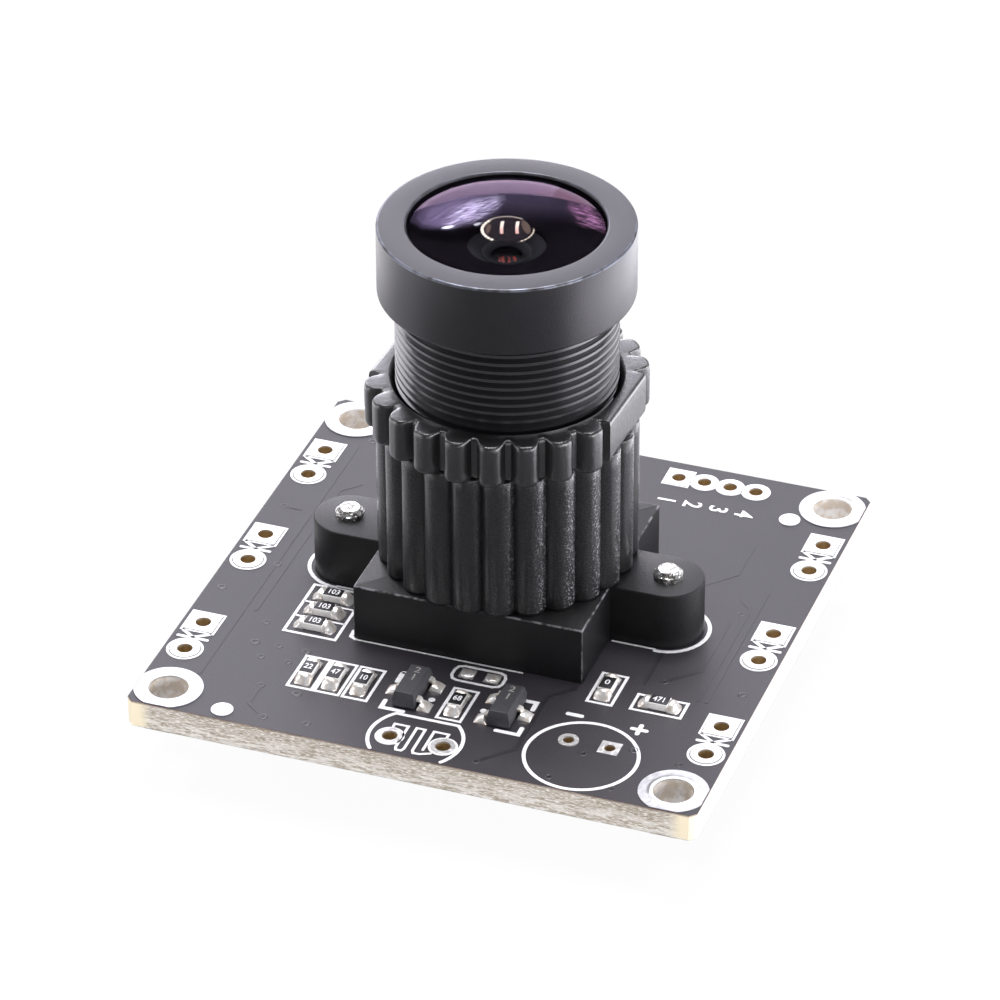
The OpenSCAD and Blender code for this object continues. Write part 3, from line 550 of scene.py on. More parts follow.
# The outline of the holder's ears
for s in (-1, 1):
    marks += [line(circle((s * ear_x, 0), 2.3, -90 * s, 180 - 90 * s, 20), 0.22),
              line([(s * ear_x, -2.16), (s * 6.75, -2.16)], 0.12)]
print_piece = build("board_print", gather(marks), ink)
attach(print_piece, "module")

# ---- Chip resistors ----
# Blocks of white alumina with a black glaze on top, printed with plain figures.
# Their tinned ends are soldered to the board by fillets that rise up them.

front_y = -10.45
chip_places = [
    (-8.92, -3.35, 0), (-8.92, -4.8, 0), (-8.92, -6.25, 0), (-7.65, front_y, 90),
    (-6.11, front_y, 90), (-4.5, front_y, 90), (0.91, front_y - 0.15, 90), (7.97, -6.55, 90),
    (11.1, -7.15, 0)]


def offset(outline, amount):
    """An outline of (x, y) points, anticlockwise, moved inwards by amount."""
    moved = []
    for k, here in enumerate(outline):
        before, after = Vector(outline[k - 1]), Vector(outline[(k + 1) % len(outline)])
        here = Vector(here)
        first, second = (here - before).normalized(), (after - here).normalized()
        inward = Vector((-first.y - second.y, first.x + second.x))
        inward.normalize()
        reach = amount / max(0.4, inward.dot(Vector((-first.y, first.x))))
        moved.append(tuple(here + inward * reach))
    return moved


def rounded(corners, steps=4):
    """A closed outline whose corners (x, y, radius) are rounded."""
    outline = []
    for k, (x, y, radius) in enumerate(corners):
        here = Vector((x, y))
        if not radius:
            outline.append((x, y))
            continue
        before, after = (Vector(corners[j % len(corners)][:2]) for j in (k - 1, k + 1))
        start = here + (before - here).normalized() * radius
        end = here + (after - here).normalized() * radius
        for i in range(steps + 1):
            t = i / steps
            outline.append(tuple(start * (1 - t) ** 2 + here * 2 * t * (1 - t) + end * t ** 2))
    return outline


def block_outline(w, d, radius):
    return rounded([(-w / 2, -d / 2, radius), (w / 2, -d / 2, radius),
                    (w / 2, d / 2, radius), (-w / 2, d / 2, radius)], 3)


def prism(outline, bottom, top, top_round=0.0):
    """The shape of an outline raised from bottom to top, its upper edge rounded."""
    levels = [(bottom, 0.0)]
    for k in range(4 if top_round else 1):
        a = pi / 6 * k
        levels.append((top - top_round * (1 - sin(a)), top_round * (1 - cos(a))))
    return loft([[(x, y, z) for x, y in offset(outline, inset)] for z, inset in levels])


ceramic = Finish("white_alumina", (0.86, 0.85, 0.82), 0.5)
ceramic.feed(Base_Color=ceramic.mix(ceramic.grain(4, 3), (0.78, 0.77, 0.75), (0.9, 0.89, 0.86)),
             Normal=ceramic.bump(ceramic.grain(14), 0.01))
chip_block = prism(block_outline(1.1, 0.8, 0.03), 0.02, 0.42, 0.02)
chips = scattered("resistor_bodies", chip_block, chip_places, ceramic)
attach(chips, "module")
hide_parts("chip_resistor_bodies")

glaze = Finish("black_glaze", (0.012, 0.012, 0.014), 0.28)
glaze.feed(Roughness=0.22 + 0.2 * glaze.grain(5), Normal=glaze.bump(glaze.grain(6), 0.008))
glaze_top = 0.45
film = prism(block_outline(1.04, 0.72, 0.04), 0.4, glaze_top, 0.02)
films = scattered("resistor_glaze", film, chip_places, glaze)
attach(films, "module")
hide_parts("chip_resistor_films")

# Only a code of one figure keeps its full width, and only one of three turns with its resistor
codes = ["103", "103", "103", "22", "47", "10", "68", "0", "471"]
code_marks = []
for (x, y, turn), code in zip(chip_places, codes):
    size, squeeze = (0.62, 0.78) if len(code) > 1 else (0.6, 1.0)
    turn = turn if len(code) > 2 else 0
    code_marks.append(figures(code, size, (x, y), turn, glaze_top + 0.0035, squeeze, 0.003))
codes_piece = build("resistor_figures", gather(code_marks), ink)
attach(codes_piece, "module")

solder = Finish("bright_solder", (0.86, 0.85, 0.82), 0.2, Metallic=0.7)
solder.feed(
    Base_Color=solder.mix(solder.grain(3, 3).ramp(0.35, 0.7), (0.96, 0.95, 0.93), (0.84, 0.76, 0.66)),
    Roughness=0.24 + 0.2 * solder.grain(5, 3),
    Normal=solder.bump(solder.grain(2.6, 2), 0.05))


def chip_end(half_w, height, length):
    """The solder over one end of a chip, from its top down to the board."""
    chip_half, sections = 0.8, []
    for k in range(9):
        y = sin((k / 8 - 0.5) * pi) * half_w
        rise = (1 - (abs(y) / half_w) ** 3 * 0.55) * height
        spread = length * (1 - 0.35 * (abs(y) / half_w) ** 2)
        edge = 0.52 + 0.04 * (k % 2)
        sections.append([(x, y, z) for x, z in (
            (edge, 0.0), (edge, rise * 0.94), (0.66, rise * 1.06), (chip_half, rise * 1.02),
            (chip_half + spread * 0.35, rise * 0.62), (chip_half + spread * 0.7, rise * 0.24),
            (chip_half + spread, 0.02), (chip_half + spread, 0.0))])
    return loft(sections)


def spun(shape, turn):
    """A shape turned about the z axis."""
    spin = Matrix.Rotation(radians(turn), 4, "Z")
    return [tuple(spin @ Vector(point)) for point in shape[0]], shape[1]


both_ends = gather([chip_end(0.44, 0.47, 0.4), spun(chip_end(0.44, 0.46, 0.38), 180)])
ends = scattered("resistor_solder", both_ends, chip_places, solder, 0.02, 3, 60)
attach(ends, "module")
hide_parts("chip_resistor_ends")

dome = turned(lambda angle: [
    (0.40 + 0.04 * cos(radians(3 * angle)), 0.0), (0.36, 0.08), (0.26, 0.14),
    (0.12, 0.13), (0.0, 0.16), (0.0, 0.0)], 24)
lands = scattered("land_solder", dome, [(0.45, -7.74, 40), (1.87, -7.74, 200)], solder, 0.08, 6, 60)
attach(lands, "module")

# ---- Transistors ----
# Two three-legged parts moulded in matt black epoxy, with flattened legs that
# leave at mid height and stand in blobs of solder.

epoxy = Finish("moulded_epoxy", (0.03, 0.03, 0.034), 0.5)
epoxy.feed(Base_Color=epoxy.mix(epoxy.grain(5, 3), (0.024, 0.025, 0.028), (0.05, 0.051, 0.057)),
           Roughness=0.45 + 0.2 * epoxy.grain(9), Normal=epoxy.bump(epoxy.grain(16, 2), 0.02))
moulding_top = 1.0
levels = ((0.05, 0.12), (0.08, 0.06), (0.5, 0.0), (0.9, 0.2), (0.96, 0.24), (moulding_top, 0.36))
moulding = loft([[(x, y, z) for x, y in block_outline(1.3 - inset, 2.9 - inset, 0.04)]
                 for z, inset in levels])
transistor_places = [(-1.7, front_y, 180), (3.65, front_y, 0)]
sots = scattered("transistor_mouldings", moulding, transistor_places, epoxy, crease=25)
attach(sots, "module")
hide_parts("transistor_bodies")

faint = Finish("faint_marking", (0.26, 0.25, 0.24), 0.6)
faint.feed(Base_Color=faint.mix(faint.grain(8, 3).ramp(0.3, 0.7), (0.1, 0.1, 0.1), (0.36, 0.34, 0.31)))
marking = build("transistor_marking", gather(
    figures(figure, size, (x, y + rise), 0, moulding_top + 0.0025, 1.0, 0.003)
    for x, y, _ in transistor_places
    for figure, size, rise in (("1", 0.8, 0.15), ("2", 0.7, 0.85))), faint)
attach(marking, "module")

legs = Finish("tinned_legs", (0.8, 0.8, 0.79), 0.26, Metallic=1.0)
legs.feed(Roughness=0.2 + 0.2 * legs.grain(4), Normal=legs.bump(legs.grain(3, 3), 0.03))


def leg(along):
    """A leg from the body's side down to its foot, and the blob it stands in."""
    strip = [[(x, along + side * 0.21, z + rise * 0.06)
              for side, rise in ((-1, -1), (1, -1), (1, 1), (-1, 1))]
             for x, z in ((0.6, 0.5), (0.72, 0.5), (0.85, 0.44), (0.94, 0.2), (1.02, 0.1), (1.16, 0.1))]
    blob = []
    for k in range(7):
        a = (k / 6 - 0.5) * pi
        h = 0.05 + 0.3 * cos(a) ** 0.7 if 0 < k < 6 else 0.02
        blob.append([(x, along + sin(a) * 0.42, z) for x, z in (
            (0.7, 0.0), (0.74, h * 0.5), (0.86, h * 0.98), (1.02, h * 0.9), (1.2, h * 0.62),
            (1.34 + 0.06 * cos(a), h * 0.22), (1.42, 0.0))])
    return gather([loft(strip), loft(blob)])


leg_set = gather([leg(0), spun(leg(0.95), 180), spun(leg(-0.95), 180)])
leg_piece = scattered("transistor_legs", leg_set, transistor_places, solder, crease=50)
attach(leg_piece, "module")
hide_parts("transistor_leads")

# ---- Lens holder ----
# One moulding in black plastic: a square foot with an ear on each side, and a
# barrel of round-backed ribs with a spark-eroded texture. The foot's top edges
# and the glints on the ribs' right-hand flanks are painted highlights.

foot_w, foot_h, holder_top, bore = 13.1, 3.4, 11.95, 6.03
plastic = Finish("moulded_black_plastic", (0.006, 0.006, 0.007), 0.36, Specular_IOR_Level=0.38,
                 Coat_Roughness=0.22)
sparks = plastic.grain(13, 1).ramp(0.54, 0.66)
fine = plastic.grain(16, 3)
ribbed = plastic.z > foot_h + 0.2
# Painted glints: specks on the right-hand flanks of the ribs are painted lighter, a painted highlight
angle = plastic.x.maths("ARCTAN2", plastic.y, plastic.x) * (12 / pi) + 24.5
side = (plastic.x * 0.94 + plastic.y * 0.34).ramp(-2.5, 6.0)
flank = (angle.maths("FRACT", angle) + side * 0.32).ramp(0.60, 1.05) * side
glints = flank * ribbed * plastic.grain(9, 1).ramp(0.54, 0.66)
# Painted highlight: the foot's top edges and corners are painted lighter in patches
painted_edge_highlight = plastic.z.ramp(foot_h - 0.12, foot_h - 0.04) * (plastic.z < foot_h + 0.03)
painted_edge_highlight = painted_edge_highlight * (abs(plastic.x) < foot_w / 2 + 0.01)
painted_edge_highlight = painted_edge_highlight * abs(plastic.x).most(abs(plastic.y)).ramp(foot_w / 2 - 0.13, foot_w / 2 - 0.05)
painted_edge_highlight = painted_edge_highlight.most((abs(plastic.x) + abs(plastic.y)).ramp(foot_w - 0.10, foot_w - 0.06) * 0.5)
painted_edge_highlight = painted_edge_highlight * plastic.grain(2.2, 4).ramp(0.36, 0.62)
plastic.feed(
    Base_Color=plastic.paint(plastic.mix(fine, (0.004, 0.004, 0.0045), (0.007, 0.007, 0.008)),
                             (painted_edge_highlight, (0.20, 0.20, 0.21)), (glints, (0.42, 0.42, 0.44))),
    Coat_Weight=ribbed,
    Roughness=0.28 + 0.14 * fine,
    Normal=plastic.bump(fine * 0.5 + sparks * ribbed * 2.0, 0.045))
ear = [(5.5, -2.0)] + circle((ear_x, 0), 2.0, -90, 90, 24) + [(5.5, 2.0)]
foot_parts = [prism([(s * x, s * y) for x, y in ear], 0.0, foot_h, 0.14) for s in (-1, 1)]
foot_parts.append(prism(block_outline(foot_w, foot_w, 0.12), 0.0, foot_h + 0.001, 0.12))
foot = build("holder_foot", gather(foot_parts), plastic, 25)
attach(foot, "module")

rib_ring_r, rib_r = 6.17, 0.95


def rib_section(angle):
    a = radians(angle)
    crest = rib_ring_r * cos(a) + sqrt(rib_r ** 2 - (rib_ring_r * sin(a)) ** 2)
    rows = [(foot_h, 0.10), (foot_h + 0.03, 0.05), (foot_h + 0.08, 0.02), (foot_h + 0.25, 0.0)]
    rows += [(foot_h + 0.25 + k * 0.8, 0.0) for k in range(1, 10)]
    rows += [(holder_top - 0.12, 0.0), (holder_top - 0.03, 0.06), (holder_top, 0.16)]
    return [(bore, foot_h)] + [(crest - inset, z) for z, inset in rows] + [(bore, holder_top)]


# Copies of one sector, turned about the lens axis
round_pattern, inlet = modifier_tree("round_pattern", Count="Int", First="Float", Step="Float",
                                     Material="Material")
spots = round_pattern.node("GeometryNodePoints", inlet["Count"])
angle = inlet["First"] + inlet["Step"] * round_pattern.node("GeometryNodeInputIndex")
copies = round_pattern.node("GeometryNodeInstanceOnPoints", spots, Instance=inlet["Geometry"],
                            Rotation=round_pattern.node("ShaderNodeCombineXYZ", Z=angle))
end_tree(round_pattern, copies, inlet["Material"])


def repeat_round(piece, count, first, step, finish, crease):
    return grow(piece, round_pattern, crease, Count=count, First=radians(first),
                Step=radians(step), Material=finish.material)


rib = build("holder_ribs", turned(rib_section, 10, 7.5), plastic)
ribs = repeat_round(rib, 24, 0, 15, plastic, 50)
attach(ribs, "module")
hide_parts("lens_holder")

# ---- Holder screws ----
# Two self-tapping screws come up through the board and cut their thread in the
# ears. Their bright pointed ends stand out of the tops.

nickel = Finish("nickel_plated_steel", (0.84, 0.84, 0.84), 0.2, Metallic=1.0)
patches = nickel.grain(2.5, 3).ramp(0.35, 0.65)
nickel.feed(Base_Color=nickel.mix(patches, (0.34, 0.33, 0.31), (0.92, 0.92, 0.91)),
            Roughness=0.14 + 0.25 * nickel.grain(4, 2),
            Normal=nickel.bump(nickel.grain(3, 3, distortion=1.0), 0.10))
coat(nickel, "holder_screws")


def screw_end(x):
    """The tapered end of a screw with its thread ridge and a cut flute."""
    start, tip, thread_step, around, rows, sections = 3.3, 3.92, 0.21, 40, 30, []
    for k in range(rows):
        z = start + k * (tip - start) / (rows - 1)
        core = 0.62 - 0.52 * max(0.0, (z - 3.5) / 0.42) ** 2
        sections.append([])
        for i in range(around):
            a = 2 * pi * i / around
            phase = ((z - start) / thread_step - i / around) % 1
            ridge = max(0.0, 1 - abs(phase - 0.5) * 3.4)
            flute = 0.14 * max(0.0, cos(a - 1.2)) ** 12
            r = max(0.05, core + 0.2 * ridge * min(1, (tip - z) / 0.12) - flute)
            sections[-1].append((x + r * cos(a), r * sin(a), z))
    return loft(sections)


tips = build("screw_threads", gather([screw_end(-ear_x), screw_end(ear_x)]), nickel, 40)
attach(tips, "module")

# ---- Lock ring ----
# A moulded black ring, run down the lens thread on to the holder. Blunt lobes
# round its edge and two flats give the fingers a hold.

ring_floor, ring_tip, ring_flat = 6.95, 7.7, 6.93
ring_bottom, ring_top, ring_turn = 11.95, 14.5, -2.5
satin = Finish("satin_black_plastic", (0.006, 0.006, 0.007), 0.26, Specular_IOR_Level=0.9,
               Coat_Weight=0.8, Coat_Roughness=0.24)
skin = satin.grain(12, 3)
satin.feed(
    Base_Color=satin.mix(satin.grain(3, 3), (0.004, 0.004, 0.0045), (0.007, 0.007, 0.008)),
    Roughness=0.30 + 0.12 * skin,
    Normal=satin.bump(skin + satin.grain(4, 2) * 1.5, 0.018))


def ring_section(radius):
    """The ring's section out to a radius, with a countersunk bore."""
    return [(bore, ring_bottom), (radius - 0.3, ring_bottom), (radius - 0.12, ring_bottom + 0.05),
            (radius - 0.03, ring_bottom + 0.16), (radius, ring_bottom + 0.36),
            (radius, ring_bottom + 1.2), (radius, ring_top - 0.3), (radius - 0.03, ring_top - 0.13),
            (radius - 0.11, ring_top - 0.03), (radius - 0.24, ring_top), (6.36, ring_top),
            (6.3, ring_top - 0.03), (bore, ring_top - 0.5)]


def lobe_section(angle):
    t = min(1.0, abs(angle) / 6.0)
    return ring_section(ring_floor + (ring_tip - ring_floor) * (1 - t ** 3) ** 0.8)


def flat_section(angle):
    t = min(1.0, max(0.0, (22.5 - abs(angle)) / 1.8))
    full = ring_flat / cos(radians(angle))
    return ring_section(ring_floor + (full - ring_floor) * t * t * (3 - 2 * t))


whole = bmesh.new()
for section, steps, half, count, first in (
        (lobe_section, 36, 7.5, 9, 30), (lobe_section, 36, 7.5, 9, 210), (flat_section, 50, 22.5, 2, 0)):
    part = build("ring_part", turned(section, steps, half), satin)
    repeat_round(part, count, first + ring_turn, 15 if count > 2 else 180, satin, 55)
    whole.from_mesh(part.data)
    bpy.data.objects.remove(part)
ring_mesh = bpy.data.meshes.new("lock_ring_body")
whole.to_mesh(ring_mesh)
whole.free()
ring_mesh.materials.append(satin.material)
tidy(ring_mesh, 55)
ring = add_object("lock_ring_body", ring_mesh)
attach(ring, "lock_ring")
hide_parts("lock_ring")

# ---- Lens barrel ----
# Turned from aluminium and anodised black: a threaded stem, half a millimetre
# to the turn, under a plain head whose edges are just broken.

thread_r, thread_root, head_r, mouth_r = 6.0, 5.73, 6.91, 5.3
head_z, mouth_floor, face_z = 19.72, 22.32, 23.72
anodised = Finish("black_anodised_aluminium", (0.007, 0.007, 0.008), 0.34, Specular_IOR_Level=0.76,
                  Specular_Tint=(0.96, 0.94, 1.0, 1), Coat_Roughness=0.16, Coat_IOR=1.65)
turning = anodised.grain(3.0, 3.0, anodised.stretched(0.15, 0.15, 6))
pits = anodised.grain(14, 2)
out = hypotenuse(anodised.x, anodised.y)
# Inside the mouth the wall is painted darker and rougher: partly its blackening, partly painted shade
inside = (out < mouth_r + 0.03) * (anodised.z > mouth_floor - 0.02)
specks = anodised.grain(7, 3).ramp(0.70, 0.78) * inside
# The head's outer top edge and the mouth's edge are painted bright and partly metallic in patches:
# partly rubbed wear, partly a painted highlight
rubbed_edge_and_highlight = (out + anodised.z).ramp(head_r + face_z - 0.16, head_r + face_z - 0.12)
rubbed_edge_and_highlight = rubbed_edge_and_highlight + 0.5 * (anodised.z - out).ramp(face_z - mouth_r - 0.135, face_z - mouth_r - 0.12)
rubbed_edge_and_highlight = rubbed_edge_and_highlight * (1 - inside) * anodised.grain(1.3, 4).ramp(0.32, 0.62)
anodised.feed(
    Base_Color=anodised.paint(
        anodised.mix(anodised.grain(1.2, 3), (0.005, 0.005, 0.006), (0.009, 0.009, 0.010)),
        (inside, (0.002, 0.002, 0.002)), (rubbed_edge_and_highlight + specks, (0.15, 0.16, 0.19))),
    Metallic=rubbed_edge_and_highlight * 0.8,
    Coat_Weight=(out < 6.05) * (anodised.z < head_z),
    Roughness=0.30 + 0.08 * pits + 0.04 * turning + inside * 0.4,
    Normal=anodised.bump(pits * 0.6 + turning * 0.5, 0.012))
head_section = rounded([
    (5.0, 4.6, 0), (5.75, 4.6, 0.1), (5.95, 4.9, 0.1), (5.95, 14.2, 0), (thread_root, 14.3, 0),
    (thread_root, head_z, 0), (head_r, head_z, 0.2), (head_r, face_z, 0.17),
    (mouth_r + 0.1, face_z, 0.06), (mouth_r, face_z - 0.12, 0.05), (mouth_r, mouth_floor, 0),
    (2.95, mouth_floor, 0), (2.95, 21.42, 0), (3.6, 21.42, 0), (3.6, 4.6, 0)])
barrel = build("lens_head_and_stem", turned(head_section, 192), anodised, 40)

helix, inlet = modifier_tree("thread", Radius="Float", Pitch="Float", Turns="Float", Depth="Float",
                             Base="Float", Start="Float", Material="Material")
spiral = helix.node("GeometryNodeCurveSpiral", 96, inlet["Turns"], inlet["Radius"],
                    inlet["Radius"], inlet["Pitch"] * inlet["Turns"], False)
upright = helix.node("GeometryNodeSetCurveNormal", spiral, settings={"mode": "Z_UP"})
ridge = helix.node("GeometryNodeCurvePrimitiveQuadrilateral", settings={"mode": "TRAPEZOID"},
                   Height=inlet["Depth"], Bottom_Width=inlet["Base"],
                   Top_Width=inlet["Base"] * 0.36, Offset=0.0)
spin = helix.node("GeometryNodeTransform", ridge, Rotation=(0, 0, pi / 2))
swept = helix.node("GeometryNodeCurveToMesh", upright, spin, Fill_Caps=True)
raised = helix.node("GeometryNodeTransform", swept,
                    Translation=helix.node("ShaderNodeCombineXYZ", Z=inlet["Start"]))
end_tree(helix, raised, inlet["Material"])
thread_piece = grow(
    add_object("lens_thread", bpy.data.meshes.new("lens_thread")), helix, 30,
    Radius=(thread_r + thread_root) / 2 * MM, Pitch=0.5 * MM, Turns=11.0,
    Depth=(thread_r - thread_root) * MM, Base=0.46 * MM, Start=14.0 * MM,
    Material=anodised.material)
for piece in (barrel, thread_piece):
    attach(piece, "lens_barrel")
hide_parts("lens_barrel")

# ---- Front glass ----
# A domed meniscus seated on a rubber ring inside the head. The violet shine of
# its anti-reflection coating, with fine streaks, and the small crown of light in
# which the inner lenses show, are painted reflections on a disc under the dome.
# Below it are the black lip, the second lens and the stop.

coated = Finish("coated_front_glass", (0.01, 0.008, 0.014), 0.03)
slant = coated.node("ShaderNodeLayerWeight", Blend=0.5, output="Facing")
coated.blend(0.3 * slant ** 7.0, coated.node("ShaderNodeBsdfTransparent"),
             coated.node("ShaderNodeBsdfGlossy", Color=(0.78, 0.62, 0.86, 1), Roughness=0.03))
dome_r, rim_z, glass_r = 17.0, 23.52, 5.25
dome_base = rim_z - sqrt(dome_r ** 2 - glass_r ** 2)
glass_section = [(0.0, rim_z - 0.1), *(
    (r, dome_base + sqrt(dome_r ** 2 - r ** 2)) for r in (glass_r * k / 24 for k in range(25))),
    (glass_r, rim_z - 0.1)]
glass = build("front_glass", turned(glass_section, 128), coated, 30)
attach(glass, "lens_optics")
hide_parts("front_element")

# The coating's reflections painted on a disc under the glass: painted reflection where it shines, clear
# where it doesn't
glint_turn = 19.8


def swung(u, v, degrees):
    """Two distances, read along axes turned by an angle."""
    c, s = cos(radians(degrees)), sin(radians(degrees))
    return u * c + v * s, v * c - u * s


violet = Finish("violet_coating", (0.05, 0.04, 0.07), 0.4, Specular_IOR_Level=0.0)
wander = violet.grain(0.9, 4) - 0.5
across, away = swung(violet.x, violet.y, glint_turn)
cloudy_across, cloudy_away = across + wander * 1.1, away + wander * 0.9
square = across * across + away * away
reach = square ** 0.5


def patch(x, y, half_length, half_width, lean, soft=0.7, cloudy=True):
    """1 inside a leaning oval, fading to 0 at its edge."""
    u, v = (cloudy_across - x, cloudy_away - y) if cloudy else (across - x, away - y)
    u, v = swung(u, v, lean)
    u, v = u / half_length, v / half_width
    return (u * u + v * v).ramp(1.0, 1.0 - soft)


def streaks(lean, length, width):
    """Noise drawn out along a direction."""
    u, v = swung(across, away, lean)
    return violet.grain(1.0, 4, violet.node("ShaderNodeCombineXYZ", u / length, v / width, wander * 1.5))


def arc(radius, thickness, middle, half_angle):
    """1 on a stroke along a circle about the lens axis, between two angles."""
    soft, limit = 0.03, cos(radians(half_angle))
    stripe = abs(reach - radius).ramp(thickness / 2 + soft, thickness / 2 - soft)
    return stripe * (swung(across, away, middle)[0] / reach).ramp(limit - 0.06, limit + 0.06)


lean_streaks, fine_streaks = streaks(52, 1.3, 0.20), streaks(22, 0.7, 0.09)
painted_glow = away.ramp(-0.2, 3.8)
bloom = patch(-3.2, 1.9, 2.6, 2.0, 40)
below_edge = (cloudy_away - 0.38 * across).ramp(0.35, 0.95)
haze = patch(-2.5, 1.8, 2.7, 1.9, 30, 1.0) * (0.1 + 1.1 * lean_streaks * fine_streaks.ramp(0.2, 0.6))
core = patch(-1.7, 2.0, 2.5, 1.05, 50, 1.0) * (lean_streaks + fine_streaks * 0.6 - 0.3).ramp(0.22, 0.72)
haze, core = haze * below_edge, core * below_edge
sparkle = patch(-3.05, 0.30, 0.46, 0.19, 26, 0.9) + 0.5 * patch(-1.50, 0.62, 0.28, 0.15, 5, 1.0)
pink_streaks = streaks(-38, 0.9, 0.14) + fine_streaks * 0.5
pink = patch(4.35, 1.25, 2.2, 0.95, -62, 1.0) * pink_streaks.ramp(0.55, 0.95)
band = (away + 0.076 * across * across).ramp(3.74, 3.92)
mauve = violet.paint(violet.mix(across.ramp(0.0, 4.0), (0.102, 0.070, 0.112), (0.142, 0.078, 0.118)),
                     (square.ramp(22.0, 27.5), (0.21, 0.15, 0.205)))
red_rim = square.ramp(25.2, 26.6) * away.ramp(-1.5, -3.5)

# The crown of painted reflections: an arc on each side, a thin one behind, two bars and brown fills
crown_fill = patch(0.05, 0.0, 1.30, 1.36, 0, 0.25, False)
teeth = away.maths("FRACT", away.maths("ARCTAN2", away, across) * 5.6 + 20)
dashes = abs(teeth - 0.5).ramp(0.40, 0.22)
brown = patch(-0.98, 0.1, 0.62, 0.15, 84, 0.5, False) + patch(1.02, 0.25, 0.80, 0.24, 100, 0.4, False)
bars = sum(abs(across - x - 0.10 * away * away).ramp(0.117, 0.053) * away.ramp(-0.48, -0.37)
           * away.ramp(top + 0.05, top - 0.05) for x, top in ((-0.28, 0.86), (0.53, 0.82)))
back_arc = arc(1.36, 0.045, 92, 42)
left_arc = arc(1.30, 0.17, 184, 54) * (0.12 + 0.88 * dashes)
right_arc = arc(1.42, 0.09, -30, 34) * (0.15 + 0.85 * dashes)
violet.feed(Base_Color=violet.paint(
    violet.mix(painted_glow, (0.003, 0.003, 0.005), (0.028, 0.022, 0.040)),
    (bloom, (0.034, 0.025, 0.050)),
    (haze, (0.17, 0.135, 0.24)),
    (core, (0.36, 0.31, 0.48)),
    (core * fine_streaks.ramp(0.46, 0.76), (0.60, 0.56, 0.76)),
    (sparkle * below_edge, (0.90, 0.90, 1.0)),
    (pink, (0.30, 0.135, 0.27)),
    (band, mauve),
    (red_rim, (0.07, 0.012, 0.014)),
    (crown_fill * 0.85, (0.016, 0.013, 0.016)),
    (brown * 0.9, (0.095, 0.066, 0.055)),
    (bars, violet.mix(away.ramp(-0.3, 0.6), (0.62, 0.36, 0.32), (0.74, 0.66, 0.58))),
    (back_arc + right_arc, (0.62, 0.52, 0.44)),
    (left_arc, (0.90, 0.80, 0.70))))
crown = crown_fill * 0.75 + back_arc + left_arc + right_arc
violet.blend((painted_glow * 0.9).most(haze, crown, red_rim, bloom, pink, sparkle),
             violet.node("ShaderNodeBsdfTransparent"), violet.surface)
inner_face = build("coated_inner_face", turned([
    (0.0, 23.28), (5.2, 23.28), (5.2, 23.3), (0.0, 23.3)], 96), violet)

lip_black = Finish("blackened_lens_edge", (0.006, 0.005, 0.008), 0.6, Specular_IOR_Level=0.0)
lip_black.feed(Base_Color=lip_black.mix(lip_black.grain(1.5), (0.002, 0.002, 0.0025),
                                        (0.005, 0.004, 0.006)))
lip = build("blackened_lip", turned([(2.1, 22.4), (5.2, 22.9), (5.2, 22.7), (2.1, 22.2)], 96), lip_black)
# A matt black sheet just inside the mouth's wall: partly its blackening, partly painted shade
lining = build("mouth_lining", turned([
    (5.27, 22.35), (5.3, 22.35), (5.3, 23.58), (5.27, 23.58)], 96), lip_black)
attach(lining, "lens_barrel")

grey_cell = Finish("grey_lens_cell", (0.03, 0.03, 0.034), 0.5, Specular_IOR_Level=0.0)
cell_reach = hypotenuse(grey_cell.x, grey_cell.y)
inner_ring = cell_reach.ramp(1.34, 1.30) * (0.45 + 0.55 * cell_reach.ramp(1.2, 1.3))
grey_cell.feed(Base_Color=grey_cell.mix(inner_ring, (0.017, 0.018, 0.021), (0.055, 0.057, 0.064)),
               Roughness=0.35 + 0.2 * grey_cell.grain(5))
cell = build("second_lens_cell", turned([
    (0.86, 21.78), (1.3, 21.98), (1.34, 21.92), (2.08, 22.25), (2.08, 21.4), (0.86, 21.4)], 96),
    grey_cell)

# The lens deep inside, with four red reflections of light and a dull red towards the front, all painted
# reflections
deep_glass = Finish("deep_lens", (0.004, 0.004, 0.005), 0.4, Specular_IOR_Level=0.0)
side_way, far_way = swung(deep_glass.x, deep_glass.y, glint_turn)
flicker = (deep_glass.grain(4, 3) - 0.5) * 0.3
red_reflection_places = ((-0.40, -0.36, 0.08), (-0.22, -0.32, 0.12), (0.08, -0.38, 0.10), (0.42, -0.18, 0.11))
red_reflections = sum((abs(side_way - x - 0.2 * far_way * far_way + flicker)
              + abs(far_way - y) * 0.1).ramp(w, w * 0.4) for x, y, w in red_reflection_places)
deep_glass.feed(Base_Color=deep_glass.paint(
    deep_glass.mix(far_way.ramp(0.15, -0.25), (0.003, 0.003, 0.004), (0.035, 0.005, 0.005)),
    (red_reflections * far_way.ramp(0.25, 0.0), (0.80, 0.08, 0.05))))
deep = build("deep_lens_face", turned([
    (0.0, 21.5), (0.95, 21.5), (0.95, 21.45), (0.0, 21.45)], 48), deep_glass)
for piece in (inner_face, lip, cell, deep):
    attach(piece, "lens_optics")

# ---- Parts under the board and inside the lens ----
# Out of sight in normal use: the controller and its memory, the crystal, the
# cable socket, the inductor, regulators and capacitors, and the lens's pieces.

